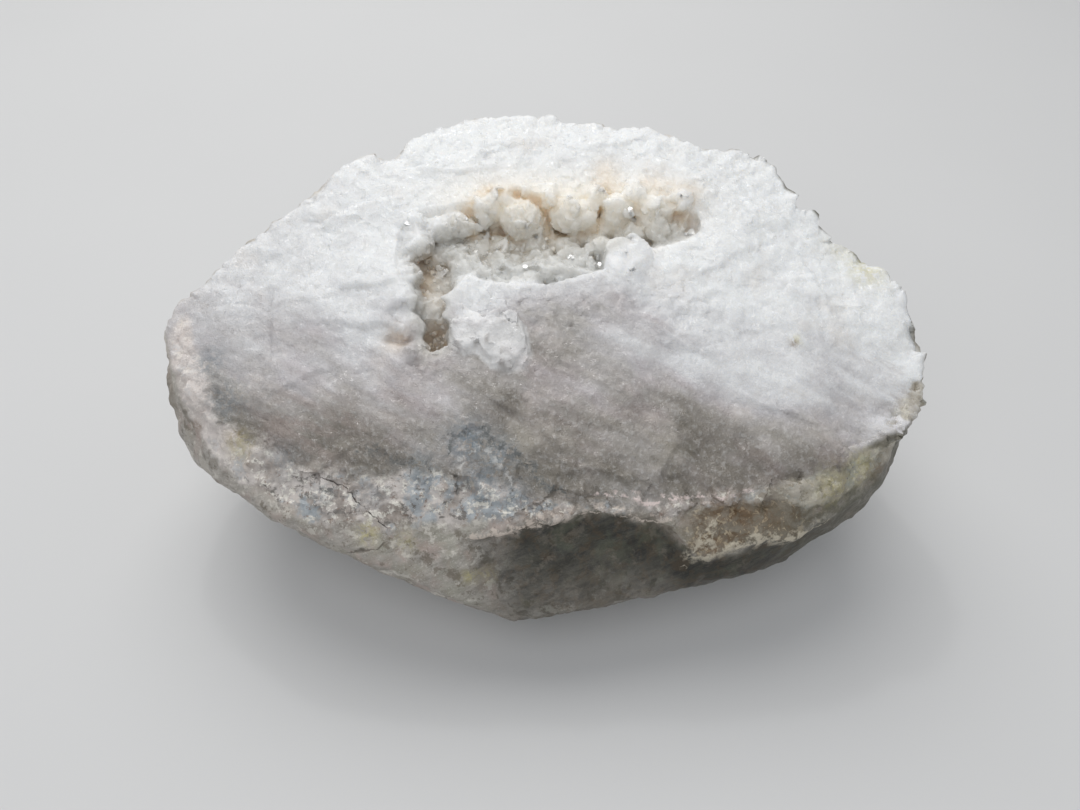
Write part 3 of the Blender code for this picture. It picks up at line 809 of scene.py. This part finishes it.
def marks(p, mesh):
    """The surface's marks, as values on its points."""
    rind = sides_of(p)
    x, y, z = p.T
    edge = np.interp(x, CRUST_X, CRUST_Z)
    attribute(mesh, "rind", rind)
    attribute(mesh, "band", BANDS(p))
    attribute(mesh, "blue", spots(p, BLUE))
    attribute(mesh, "yellow", spots(p, YELLOW))
    attribute(mesh, "rust", spots(p, RUST))
    attribute(mesh, "grey", spots(p, GREY))
    front = ramp(x + 3 * noise(p, 6.0, 17.0), -17, -2) * (1 - ramp(x, 30, 62)) * ramp(-y, 6, 14)
    wander = 1.2 * noise(p, 5.0, 18.0) + 0.8 * noise(p, 2.0, 19.0)
    under = ramp(edge - z + wander, -0.6, 2.2) * front * rind
    # The recess under the crust: its own dark brown-green, partly painted shade, darkest just under the crust's ledge.
    attribute(mesh, "recess_and_painted_shade", under * (1 - 0.5 * ramp(edge - z, 4, 18)))
    attribute(mesh, "veeside", ramp(x, 19, 24) * (1 - ramp(x, 36, 44)) * ramp(31.8 - z, 0, 1.5) * ramp(z - edge, -0.5, 1.0) * ramp(-y, 8, 14))
    attribute(mesh, "brink", rind * np.exp(-((face_gap(p) / 3.2) ** 2)) * ramp(y, -8, 6))
    attribute(mesh, "left", ramp(-x, 44, 54))
    attribute(mesh, "right", ramp(x, 24, 40))
    # Grey of the broken face, partly painted shade towards its low front edge.
    attribute(mesh, "grey_and_painted_shade", face_grey_and_painted_shade(p))
    # The blocks, the first knob and the lip are painted near white: partly their own white quartz, partly painted
    # light where they face the light.
    white_and_painted_light = ramp(-block_gap(p), -0.45, 0.0) * (1 - 0.36 * ramp(-x, 0, 3))
    for b in KNOBS[:1] + LIP:
        white_and_painted_light = np.maximum(white_and_painted_light, 0.45 * ramp(-blob(p, b), -1.3, -0.3))
    attribute(mesh, "white_and_painted_light", white_and_painted_light)
    for name, points in LINES.items():
        u, w = along_line(p, points, FRONT_UP)
        attribute(mesh, name + "_u", u)
        attribute(mesh, name + "_w", w)
    stains_and_painted_light_and_shade(p, mesh)


def make_stone():
    global GROWN
    GROWN = grown_crystals()
    print(len(GROWN), "crystals in the skin")
    low = (SHIFTED_LOW[0] - 1.2, SHIFTED_LOW[1] - 1.2, -0.8)
    high = (SHIFTED_HIGH[0] + 1.2, SHIFTED_HIGH[1] + 1.2, SHIFTED_HIGH[2] + 2.5)
    points, faces = skin(low, high, STEP)
    normals = point_normals(points, faces)
    height = spread(relief, points)
    height = np.where(points[:, 2] < 0.6, height * points[:, 2].clip(0, 0.6) / 0.6, height)
    points = points + normals * height[:, None]
    points[:, 2] = np.maximum(points[:, 2], 0)
    mesh = mesh_of("geode_skin", points, faces)
    obj = shown("geode_skin", mesh)
    thin = obj.modifiers.new("thin", "DECIMATE")
    thin.ratio = min(1.0, STONE_TRIS / (2 * len(faces)))
    graph = bpy.context.evaluated_depsgraph_get()
    final = bpy.data.meshes.new_from_object(obj.evaluated_get(graph))
    obj.modifiers.clear()
    obj.data = final
    bpy.data.meshes.remove(mesh)
    final.name = "geode_skin"
    marks(points_of(final), final)
    final.shade_smooth()
    final.set_sharp_from_angle(angle=radians(38))
    print("skin", len(points), "points,", len(final.polygons), "faces kept")
    return obj


# ---------------------------------------------------------------- crystals

LIGHT_AT = np.array([-0.10, 0.34, 0.62])
EYE_AT = (np.array([-1.1, -99.9, 136.7]) + SHIFT) * MM


def crystals(name, at, out, length, width, seed):
    """Six-sided crystals with pointed ends, joined in one mesh. Each stands on a point along out."""
    rng = np.random.RandomState(seed)
    count = len(at)
    side = np.cross(out, np.where(np.abs(out[:, 2:3]) < 0.9, [[0, 0, 1.0]], [[1.0, 0, 0]]))
    side /= np.linalg.norm(side, axis=1)[:, None]
    other = np.cross(out, side)
    turn = rng.uniform(0, pi / 3, count)
    angle = turn[:, None] + np.arange(6) * pi / 3
    wide = width[:, None] * 0.5 * rng.uniform(0.86, 1.14, (count, 6))
    ring = side[:, None] * np.cos(angle)[..., None] + other[:, None] * np.sin(angle)[..., None]
    ring = ring * wide[..., None]
    base = at - out * (0.35 * length)[:, None]
    shoulder = length[:, None] * (0.62 + 0.10 * np.tile([1, -1], 3) + rng.uniform(-0.06, 0.06, (count, 6)))
    low = base[:, None] + ring * 0.94
    high = base[:, None] + ring + out[:, None] * (0.35 * length[:, None] + shoulder)[..., None]
    tip = base + out * (1.35 * length)[:, None] + ring[:, 0] * rng.uniform(-0.25, 0.25, count)[:, None]
    points = np.concatenate([low, high, tip[:, None]], 1).reshape(-1, 3)
    start = np.arange(count)[:, None, None] * 13
    j = np.arange(6)
    k = (j + 1) % 6
    tris = np.concatenate([
        np.stack([j, k, 6 + k], 1), np.stack([j, 6 + k, 6 + j], 1),
        np.stack([6 + j, 6 + k, np.full(6, 12)], 1),
        np.array([[0, 2, 1], [0, 3, 2], [0, 4, 3], [0, 5, 4]]),
    ])
    faces = (start + tris[None]).reshape(-1, 3)
    mesh = mesh_of(name, points.astype(F), faces)
    mesh.shade_flat()
    attribute(mesh, "tip", np.tile([0.0] * 6 + [0.75] * 6 + [1.0], count))
    return mesh


def scatter(mesh, count, weight, seed):
    """Points and normals spread over a mesh's faces by weight per area."""
    rng = np.random.RandomState(seed)
    mesh.calc_loop_triangles()
    tri = np.empty(len(mesh.loop_triangles) * 3, np.int32)
    mesh.loop_triangles.foreach_get("vertices", tri)
    tri = tri.reshape(-1, 3)
    p = points_of(mesh)
    a, b, c = (p[tri[:, k]] for k in range(3))
    n = np.cross(b - a, c - a)
    area = np.linalg.norm(n, axis=1)
    share = area * weight[tri].mean(1)
    total = np.cumsum(share)
    pick = np.searchsorted(total, (np.arange(count) + rng.uniform(0, 1, count)) / count * total[-1])
    pick = np.minimum(pick, len(tri) - 1)
    u, v = rng.uniform(0, 1, (2, count))
    flip = u + v > 1
    u, v = np.where(flip, 1 - u, u), np.where(flip, 1 - v, v)
    at = a[pick] + u[:, None] * (b - a)[pick] + v[:, None] * (c - a)[pick]
    return at, n[pick] / np.maximum(area[pick], 1e-9)[:, None]


def value_of(mesh, name):
    v = np.empty(len(mesh.vertices), F)
    mesh.attributes[name].data.foreach_get("value", v)
    return v


GLINTS = [
    (-24.2, 26.0, 52.4, 1.5), (-3.2, 18.9, 46.9, 1.3), (4.2, 20.4, 48.3, 1.3), (9.0, 20.2, 48.6, 1.2), (25.0, 26.2, 50.4, 1.7),
    (-17.6, 5.4, 39.6, 1.4), (-13.6, 27.0, 50.2, 1.4), (14.8, 27.4, 52.6, 1.3),
]


def glints():
    """Small clear crystals with a broken flat end. Most ends mirror the light to the viewer."""
    rng = np.random.RandomState(9)
    spot = np.repeat(np.array(GLINTS), 3, 0)
    count = len(spot)
    at = spot[:, :3] + rng.normal(0, 0.7, (count, 3)) * (1, 1, 0.3)
    for _ in range(5):
        at[:, 2] -= spread(field, at.astype(F)) * 0.8
    width = spot[:, 3] * np.where(np.arange(count) % 3 == 0, 1.0, 0.55)
    place = (at + SHIFT) * MM
    to_light = LIGHT_AT - place
    to_eye = EYE_AT - place
    out = to_light / np.linalg.norm(to_light, axis=1)[:, None] + to_eye / np.linalg.norm(to_eye, axis=1)[:, None]
    out = out / np.linalg.norm(out, axis=1)[:, None]
    out = out + rng.normal(0, 1, (count, 3)) * np.where(np.arange(count) % 3 == 0, 0.008, 0.05)[:, None]
    out /= np.linalg.norm(out, axis=1)[:, None]
    side = np.cross(out, (1.0, 0, 0))
    side /= np.linalg.norm(side, axis=1)[:, None]
    other = np.cross(out, side)
    angle = rng.uniform(0, pi / 3, count)[:, None] + np.arange(6) * pi / 3
    ring = side[:, None] * np.cos(angle)[..., None] + other[:, None] * np.sin(angle)[..., None]
    ring = ring * (0.5 * width[:, None] * rng.uniform(0.7, 1.15, (count, 6)))[..., None]
    high = 0.35 * width
    low = at[:, None] + ring * 1.25 - out[:, None] * (0.9 * width)[:, None, None]
    top = at[:, None] + ring * 0.8 + out[:, None] * high[:, None, None]
    points = np.concatenate([low, top], 1).reshape(-1, 3)
    start = np.arange(count)[:, None, None] * 12
    j = np.arange(6)
    k = (j + 1) % 6
    tris = np.concatenate([
        np.stack([j, k, 6 + k], 1), np.stack([j, 6 + k, 6 + j], 1),
        [[6, 7, 8], [6, 8, 9], [6, 9, 10], [6, 10, 11], [0, 2, 1], [0, 3, 2], [0, 4, 3], [0, 5, 4]],
    ])
    mesh = mesh_of("glints", points.astype(F), (start + tris[None]).reshape(-1, 3))
    mesh.shade_flat()
    attribute(mesh, "tip", np.tile([0.0] * 6 + [1.0] * 6, count))
    return mesh


def make_crystals(stone):
    mesh = stone.data
    p = points_of(mesh)
    made = []
    lining = ramp(value_of(mesh, "deep"), 0.1, 0.6)
    rng = np.random.RandomState(21)
    count = 240
    lining = lining * (1 - ramp(value_of(mesh, "cream"), 0.3, 0.6))
    at, out = scatter(mesh, count, lining, 3)
    out = out + rng.normal(0, 0.30, (count, 3))
    out /= np.linalg.norm(out, axis=1)[:, None]
    width = rng.uniform(0.7, 1.7, count)
    length = width * rng.uniform(0.4, 0.7, count)
    made.append(shown("druse", crystals("druse", at - out * (0.42 * width)[:, None], out, length, width, 4)))
    made.append(shown("glints", glints()))
    for piece in made:
        stains_and_painted_light_and_shade(points_of(piece.data), piece.data)
        print(piece.name, len(piece.data.polygons), "faces")
    return made


# ---------------------------------------------------------------- materials


class Tree:
    """Short words for making a node tree."""

    def __init__(self, name):
        self.material = bpy.data.materials.new(name)
        self.material.use_nodes = True
        self.tree = self.material.node_tree
        self.tree.nodes.clear()

    def node(self, kind, values=None, **settings):
        made = self.tree.nodes.new(kind)
        for key, value in settings.items():
            setattr(made, key, value)
        for key, value in (values or {}).items():
            self.put(made.inputs[key], value)
        return made

    def put(self, socket, value):
        if hasattr(value, "is_output"):
            self.tree.links.new(value, socket)
        else:
            socket.default_value = value

    def math(self, operation, a, b=0.0, c=0.0, clamp=False):
        made = self.node("ShaderNodeMath", {0: a, 1: b, 2: c}, operation=operation, use_clamp=clamp)
        return made.outputs[0]

    def ramp(self, value, low, high, out_low=0.0, out_high=1.0):
        made = self.node(
            "ShaderNodeMapRange",
            {"Value": value, "From Min": low, "From Max": high, "To Min": out_low, "To Max": out_high},
            interpolation_type="SMOOTHSTEP", clamp=True,
        )
        return made.outputs[0]

    def mix(self, factor, a, b, how="MIX"):
        made = self.node("ShaderNodeMix", data_type="RGBA", blend_type=how, clamp_factor=True)
        self.put(made.inputs[0], factor)
        self.put(made.inputs[6], a)
        self.put(made.inputs[7], b)
        return made.outputs[2]

    def value(self, name):
        return self.node("ShaderNodeAttribute", attribute_name=name).outputs["Fac"]

    def place(self, scale=(1000, 1000, 1000), turn=(0, 0, 0), base=None):
        made = self.node("ShaderNodeMapping", {"Vector": base or self.object, "Rotation": turn, "Scale": scale})
        return made.outputs[0]

    @property
    def object(self):
        return self.node("ShaderNodeTexCoord").outputs["Object"]

    def noise(self, place, scale, detail=3.0, rough=0.55, warp=0.0):
        return self.node(
            "ShaderNodeTexNoise",
            {"Vector": place, "Scale": scale, "Detail": detail, "Roughness": rough, "Distortion": warp},
        ).outputs["Fac"]

    def finish(self, shader):
        out = self.node("ShaderNodeOutputMaterial")
        self.tree.links.new(shader.outputs[0], out.inputs[0])
        return self.material


def rgb(r, g, b):
    """A colour from its screen values, 0 to 255."""
    lin = [((c / 255 + 0.055) / 1.055) ** 2.4 if c > 10 else c / 255 / 12.92 for c in (r, g, b)]
    return (*lin, 1.0)


def line_mask(t, name, width, uneven, wander=0.0):
    """A line drawn from its signed distance, so it stays crisp between the mesh's points."""
    wide = t.math("MULTIPLY", t.value(name + "_w"), t.math("MULTIPLY", uneven, width))
    across = t.math("ADD", t.value(name + "_u"), t.math("MULTIPLY_ADD", uneven, wander, -0.95 * wander))
    across = t.math("DIVIDE", t.math("ABSOLUTE", across), t.math("MAXIMUM", wide, 0.001))
    return t.ramp(across, 0.25, 1.0, 1.0, 0.0)


def cavity_colour(t, colour, blotch):
    """Cream, ochre and brown that lie in the cavity, with painted shade along the ochre lines and painted light in the
    deep hollows.
    """
    colour = t.mix(t.math("MULTIPLY", t.value("vug"), 0.8), colour, rgb(186, 185, 180))
    colour = t.mix(t.math("MULTIPLY", t.value("cream"), 0.88), colour, rgb(250, 241, 225))
    # Painted light: the deep hollows are near white and warm, lighter than the vug around them.
    colour = t.mix(t.math("MULTIPLY", t.value("deep"), 0.85), colour, rgb(242, 229, 208))
    # The ochre lines are partly painted shade.
    for name, tone, much in (("ochre_and_painted_shade", rgb(214, 184, 140), 0.75), ("hole", rgb(216, 192, 164), 0.85)):
        patchy = t.math("MULTIPLY", t.value(name), t.ramp(blotch, 0.25, 0.5))
        colour = t.mix(t.math("MULTIPLY", patchy, much), colour, tone)
    return colour


def stone_material():
    t = Tree("stone")
    mm = t.place()
    streak_mm = t.place((1000 / 5.0, 1000, 1000), base=t.place((1, 1, 1), (0, 0, radians(30))))
    bed_mm = t.place((1000 / 4.5, 1000 / 2.0, 1000), base=t.place((1, 1, 1), (0, radians(24), 0)))
    cloud = t.noise(mm, 0.11, 4.0, 0.6)
    cloud2 = t.noise(t.place((1000, 1000, 1000), (0.5, 0.3, 1.0)), 0.22, 3.0, 0.6)
    sugar = t.noise(mm, 1.3, 2.6, 0.65)
    fine = t.noise(mm, 3.6, 1.0, 0.6)
    streak = t.noise(streak_mm, 0.42, 3.0, 0.5)
    bed = t.noise(bed_mm, 1.0, 3.6, 0.70)
    blotch = t.noise(mm, 0.45, 4.0, 0.7, 0.4)
    freckle = t.noise(mm, 0.95, 3.0, 0.7, 0.8)

    # Broken quartz, greyer towards the low front edge: partly its own grey, partly painted shade where the face tilts
    # away from the light.
    grey_and_painted_shade = t.value("grey_and_painted_shade")
    grey_and_painted_shade = t.math("ADD", grey_and_painted_shade, t.math("MULTIPLY_ADD", streak, 0.30, -0.15))
    grey_and_painted_shade = t.math("ADD", grey_and_painted_shade, t.math("MULTIPLY_ADD", cloud2, 0.36, -0.18))
    stops = t.node("ShaderNodeValToRGB", {"Fac": grey_and_painted_shade})
    ramp = stops.color_ramp
    tones = ((0.0, rgb(231, 232, 232)), (0.28, rgb(213, 213, 214)), (0.5, rgb(188, 185, 186)), (0.75, rgb(159, 154, 150)), (1.0, rgb(118, 112, 104)))
    for k, (at, tone) in enumerate(tones):
        stop = ramp.elements[k] if k < 2 else ramp.elements.new(at)
        stop.position, stop.color = at, tone
    quartz = stops.outputs[0]
    quartz = t.mix(t.ramp(cloud, 0.52, 0.72, 0, 0.30), quartz, rgb(214, 206, 198))
    hue = t.noise(t.place((1000 / 2.0, 1000, 1000), base=t.place((1, 1, 1), (0, 0, radians(30)))), 0.16, 4.0, 0.6)
    tinted = t.math("MULTIPLY", t.ramp(grey_and_painted_shade, 0.25, 0.7), 0.55)
    warm = t.mix(t.ramp(hue, 0.42, 0.58), rgb(150, 150, 138), rgb(188, 178, 184))
    quartz = t.mix(t.math("MULTIPLY", tinted, t.math("ABSOLUTE", t.math("MULTIPLY_ADD", hue, 6.0, -3.0), clamp=True)), quartz, warm, "SOFT_LIGHT")
    quartz = t.mix(t.ramp(sugar, 0.50, 0.70, 0.0, 0.14), quartz, rgb(247, 247, 248))
    fleck = t.noise(mm, 1.9, 2.0, 0.5)
    quartz = t.mix(t.ramp(fleck, 0.70, 0.76, 0.0, 0.25), quartz, rgb(240, 240, 242))
    quartz = t.mix(t.ramp(fine, 0.36, 0.5, 0.05, 0.0), quartz, rgb(150, 144, 141))
    smudge = t.math("MULTIPLY", t.value("grey"), t.ramp(t.noise(streak_mm, 0.5, 4.0, 0.65), 0.38, 0.62))
    quartz = t.mix(t.math("MULTIPLY", smudge, 0.9), quartz, rgb(141, 128, 122))
    # White quartz and painted light on the blocks, the first knob and the lip.
    quartz = t.mix(t.value("white_and_painted_light"), quartz, rgb(243, 243, 243))

    # Weathered rind, with painted shade in the recess under its crust.
    rind = t.mix(t.ramp(bed, 0.32, 0.68), rgb(140, 135, 127), rgb(176, 170, 163))
    rind = t.mix(t.ramp(blotch, 0.5, 0.72, 0, 0.55), rind, rgb(140, 131, 118))
    rind = t.mix(t.ramp(cloud2, 0.48, 0.66, 0, 0.7), rind, rgb(166, 149, 141))
    rind = t.mix(t.ramp(cloud, 0.50, 0.66, 0, 0.4), rind, rgb(150, 150, 134))
    rind = t.mix(t.ramp(fine, 0.58, 0.70, 0, 0.35), rind, rgb(206, 202, 196))
    large = t.noise(mm, 0.065, 4.0, 0.62)
    rind = t.mix(t.ramp(large, 0.50, 0.64, 0, 0.55), rind, rgb(124, 114, 98))
    rind = t.mix(t.ramp(large, 0.46, 0.34, 0, 0.55), rind, rgb(190, 184, 174))
    rind = t.mix(t.ramp(t.noise(mm, 0.75, 3.0, 0.6), 0.60, 0.68, 0, 0.6), rind, rgb(104, 96, 84))
    rind = t.mix(t.ramp(t.noise(mm, 0.28, 4.0, 0.72), 0.54, 0.62, 0, 0.75), rind, rgb(108, 100, 87))
    rind = t.mix(t.ramp(t.noise(mm, 0.34, 4.0, 0.72), 0.45, 0.37, 0, 0.7), rind, rgb(204, 199, 190))
    rind = t.mix(t.math("MULTIPLY", t.value("brink"), t.ramp(blotch, 0.38, 0.56, 0.25, 0.9)), rind, rgb(206, 200, 190))
    # Recess under the crust: its own dark brown-green, darkened towards black as painted shade under the ledge.
    recess_and_painted_shade = t.mix(t.ramp(bed, 0.30, 0.70), rgb(24, 23, 18), rgb(62, 60, 49))
    recess_and_painted_shade = t.mix(t.ramp(blotch, 0.47, 0.62, 0, 0.6), recess_and_painted_shade, rgb(70, 56, 36))
    recess_and_painted_shade = t.mix(t.ramp(cloud2, 0.50, 0.66, 0, 0.5), recess_and_painted_shade, rgb(76, 80, 64))
    recess_and_painted_shade = t.mix(t.ramp(t.noise(mm, 0.33, 4.0, 0.7), 0.54, 0.66, 0, 0.45), recess_and_painted_shade, rgb(108, 101, 90))
    rind = t.mix(t.math("MULTIPLY", t.value("right"), t.ramp(blotch, 0.40, 0.60, 0.55, 0.9)), rind, rgb(88, 86, 73))
    rind = t.mix(t.math("MULTIPLY", t.value("veeside"), 0.7), rind, rgb(112, 103, 84))
    rind = t.mix(t.math("MULTIPLY", t.value("veeside"), t.ramp(blotch, 0.44, 0.66, 0.0, 0.85)), rind, rgb(96, 76, 52))
    rind = t.mix(t.math("MULTIPLY", t.value("veeside"), t.ramp(freckle, 0.55, 0.64, 0.0, 0.8)), rind, rgb(186, 172, 146))
    rind = t.mix(t.value("recess_and_painted_shade"), rind, recess_and_painted_shade)
    colour = t.mix(t.value("rind"), quartz, rind)

    # Porcelain crust along the rim, with blue-grey, brown and pink in it.
    patch = t.noise(mm, 0.17, 5.0, 0.66)
    crust = t.mix(t.ramp(patch, 0.40, 0.60), rgb(148, 137, 129), rgb(196, 189, 184))
    crust = t.mix(t.ramp(t.noise(mm, 0.20, 4.6, 0.68), 0.50, 0.60, 0, 0.8), crust, rgb(156, 166, 173))
    crust = t.mix(t.ramp(t.noise(mm, 0.62, 3.6, 0.74), 0.53, 0.62, 0, 0.9), crust, rgb(230, 226, 216))
    crust = t.mix(t.ramp(t.noise(t.place((1000, 1000, 1600)), 0.36, 4.0, 0.74), 0.55, 0.63, 0, 0.9), crust, rgb(104, 99, 94))
    crust = t.mix(t.ramp(t.noise(mm, 0.95, 3.0, 0.74), 0.57, 0.68, 0, 0.75), crust, rgb(122, 98, 82))
    crust = t.mix(t.math("MULTIPLY", t.value("left"), 0.62), crust, rgb(228, 219, 214))
    crust = t.mix(t.math("MULTIPLY", t.value("right"), 0.5), crust, rgb(166, 160, 138))
    spread_band = t.math("ADD", t.value("band"), t.math("MULTIPLY_ADD", patch, 1.6, -0.8))
    colour = t.mix(t.ramp(spread_band, 0.34, 0.78, 0, 0.9), colour, crust)

    # Stains, painted light and shade in the cavity, and lines; the crack's and the nick's are painted shade.
    colour = cavity_colour(t, colour, blotch)
    for name, tone, much in (
        ("blue", rgb(112, 124, 133), 0.95), ("yellow", rgb(196, 186, 110), 0.75), ("rust", rgb(112, 84, 54), 0.85),
    ):
        patchy = t.math("MULTIPLY", t.value(name), t.ramp(freckle, 0.34, 0.58))
        colour = t.mix(t.math("MULTIPLY", patchy, much), colour, tone)
    uneven = t.ramp(t.noise(mm, 0.55, 3.0, 0.6), 0.36, 0.62, 0.35, 1.6)
    broken = t.ramp(t.noise(mm, 0.8, 3.4, 0.75), 0.40, 0.56)
    for name, width, wander, tone, much in (
        ("ledge", 1.9, 0.7, rgb(212, 199, 187), 0.75), ("pink", 1.2, 0.7, rgb(224, 207, 202), 0.75),
        ("vee", 1.9, 0.7, rgb(196, 187, 168), 0.85), ("gash", 1.7, 0.7, rgb(82, 86, 86), 0.8), ("arc", 1.6, 0.7, rgb(88, 90, 88), 0.8),
        ("vein", 1.1, 0.6, rgb(206, 205, 202), 0.5), ("edge", 1.7, 0.7, rgb(224, 222, 224), 0.8),
        # The crack and the nick: dark lines as painted shade in their narrow grooves.
        ("crack", 0.30, 0.15, rgb(50, 42, 36), 0.95), ("nick", 0.40, 0.2, rgb(70, 62, 50), 0.7),
    ):
        mask = t.math("MULTIPLY", line_mask(t, name, width, uneven, wander), much)
        if width > 0.5:
            mask = t.math("MULTIPLY", mask, broken)
        colour = t.mix(mask, colour, tone)

    # Relief too fine for the mesh, and grains that catch the light.
    grains = t.node("ShaderNodeTexVoronoi", {"Vector": mm, "Scale": 1.7, "Randomness": 1.0}, feature="F1")
    tilt = t.node("ShaderNodeVectorMath", {0: grains.outputs["Color"], 1: (0.5, 0.5, 0.5)}, operation="SUBTRACT").outputs[0]
    much = t.math("MULTIPLY_ADD", t.value("rind"), -0.12, 0.20)
    tilt = t.node("ShaderNodeVectorMath", {0: tilt}, operation="SCALE")
    t.put(tilt.inputs["Scale"], much)
    relief_height = t.math("ADD", t.math("MULTIPLY", sugar, 0.6), t.math("MULTIPLY", fine, 0.35))
    rind_height = t.math("ADD", t.math("MULTIPLY", bed, 0.55), t.math("MULTIPLY", fine, 0.3))
    height = t.node("ShaderNodeMix", data_type="FLOAT")
    t.put(height.inputs[0], t.value("rind"))
    t.put(height.inputs[2], relief_height)
    t.put(height.inputs[3], rind_height)
    height = t.math("MULTIPLY_ADD", line_mask(t, "crack", 0.50, uneven, 0.15), -1.0, height.outputs[0])
    height = t.math("MULTIPLY_ADD", line_mask(t, "vee", 1.3, uneven, 0.4), 0.8, height)
    bump = t.node("ShaderNodeBump", {"Strength": 0.5, "Distance": 0.0006, "Height": height})
    normal = t.node("ShaderNodeVectorMath", {0: bump.outputs[0], 1: tilt.outputs[0]}, operation="ADD")
    normal = t.node("ShaderNodeVectorMath", {0: normal.outputs[0]}, operation="NORMALIZE")

    spark = t.node("ShaderNodeSeparateColor", {0: grains.outputs["Color"]}).outputs[2]
    rough = t.ramp(spark, 0.80, 0.90, 0.50, 0.16)
    rough = t.math("MAXIMUM", rough, t.math("MULTIPLY", t.value("rind"), 0.58))
    clear = t.math("SUBTRACT", 1.0, t.value("rind"), clamp=True)
    shader = t.node(
        "ShaderNodeBsdfPrincipled",
        {
            "Base Color": colour, "Roughness": rough, "IOR": 1.544, "Normal": normal.outputs[0],
            "Subsurface Radius": (1.0, 0.95, 0.88), "Subsurface Scale": 0.0050,
            "Subsurface Weight": t.math("MULTIPLY", clear, t.ramp(t.value("grey_and_painted_shade"), 0.15, 0.75, 0.85, 0.25)),
        },
    )
    return t.finish(shader)


def crystal_material():
    t = Tree("crystal")
    mm = t.place()
    blotch = t.noise(mm, 0.45, 4.0, 0.7, 0.4)
    veil = t.noise(mm, 1.4, 3.0, 0.6)
    tone = t.mix(t.ramp(veil, 0.35, 0.65), rgb(247, 246, 243), rgb(232, 230, 226))
    tone = cavity_colour(t, tone, blotch)
    tone = t.mix(t.ramp(t.value("tip"), 0.3, 1.0, 0.0, 0.35), tone, rgb(250, 249, 246))
    shader = t.node(
        "ShaderNodeBsdfPrincipled",
        {
            "Base Color": tone, "Roughness": t.ramp(veil, 0.4, 0.7, 0.07, 0.22), "IOR": 1.544,
            "Transmission Weight": t.ramp(veil, 0.40, 0.62, 0.16, 0.04),
            "Subsurface Radius": (1.0, 0.95, 0.88), "Subsurface Scale": 0.0006, "Subsurface Weight": 0.5,
        },
    )
    return t.finish(shader)


def glint_material():
    t = Tree("glint")
    veil = t.noise(t.place(), 1.4, 3.0, 0.6)
    tone = t.mix(t.ramp(veil, 0.35, 0.65), rgb(246, 246, 244), rgb(234, 232, 226))
    shader = t.node(
        "ShaderNodeBsdfPrincipled",
        {
            "Base Color": tone, "Roughness": 0.05, "IOR": 1.544, "Transmission Weight": 0.06,
            "Subsurface Radius": (1.0, 0.95, 0.88), "Subsurface Scale": 0.002, "Subsurface Weight": 0.6,
        },
    )
    return t.finish(shader)


def floor_material():
    t = Tree("floor")
    tone = t.mix(t.noise(t.place((1, 1, 1)), 9.0, 2.0), (0.60, 0.60, 0.60, 1), (0.63, 0.63, 0.63, 1))
    return t.finish(t.node("ShaderNodeBsdfPrincipled", {"Base Color": tone, "Roughness": 0.8}))


# ---------------------------------------------------------------- stage


def area_light(name, at, aim, size, power, colour=(1, 1, 1)):
    light = bpy.data.lights.new(name, "AREA")
    light.shape = "DISK"
    light.size, light.energy, light.color = size, power, colour
    obj = bpy.data.objects.new(name, light)
    obj.location = at
    obj.rotation_euler = (Vector(aim) - Vector(at)).to_track_quat("-Z", "Y").to_euler()
    bpy.context.scene.collection.objects.link(obj)


def make_stage():
    floor = bpy.data.meshes.new("floor")
    s = 3.0
    floor.from_pydata([(-s, -s, 0), (s, -s, 0), (s, s, 0), (-s, s, 0)], [], [(0, 1, 2, 3)])
    obj = shown("floor", floor)
    floor.materials.append(floor_material())
    area_light("key", LIGHT_AT, (0, 0, 0.04), 0.70, 3.2, (1.0, 0.99, 0.97))
    area_light("glint", LIGHT_AT, (0, 0, 0.04), 0.05, 0.28)
    area_light("fill", (-0.10, -0.50, 0.66), (0, 0, 0.03), 0.9, 2.7, (0.97, 0.985, 1.0))
    world = bpy.data.worlds.new("world")
    bpy.context.scene.world = world
    world.use_nodes = True
    world.node_tree.nodes["Background"].inputs[0].default_value = (0.93, 0.96, 1.0, 1)
    world.node_tree.nodes["Background"].inputs[1].default_value = 0.32
    camera = bpy.data.cameras.new("camera")
    camera.sensor_width = 36.0
    camera.lens = 850.0 / 1080.0 * 36.0
    camera.clip_start = 0.005
    obj = bpy.data.objects.new("camera", camera)
    obj.location = EYE_AT
    obj.rotation_euler = (pi / 2 - radians(46.0), 0, 0)
    bpy.context.scene.collection.objects.link(obj)
    bpy.context.scene.camera = obj
    bpy.context.scene.view_settings.view_transform = "Standard"


SHIFTED_LOW = np.array(CAD_LOW) / MM - SHIFT
SHIFTED_HIGH = np.array(CAD_HIGH) / MM - SHIFT

make_stage()
stone = make_stone()
stone.data.materials.append(stone_material())
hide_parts("geode_half")
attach(stone, "root")
crystal = crystal_material()
for piece in make_crystals(stone):
    piece.data.materials.append(glint_material() if piece.name == "glints" else crystal)
    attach(piece, "root")
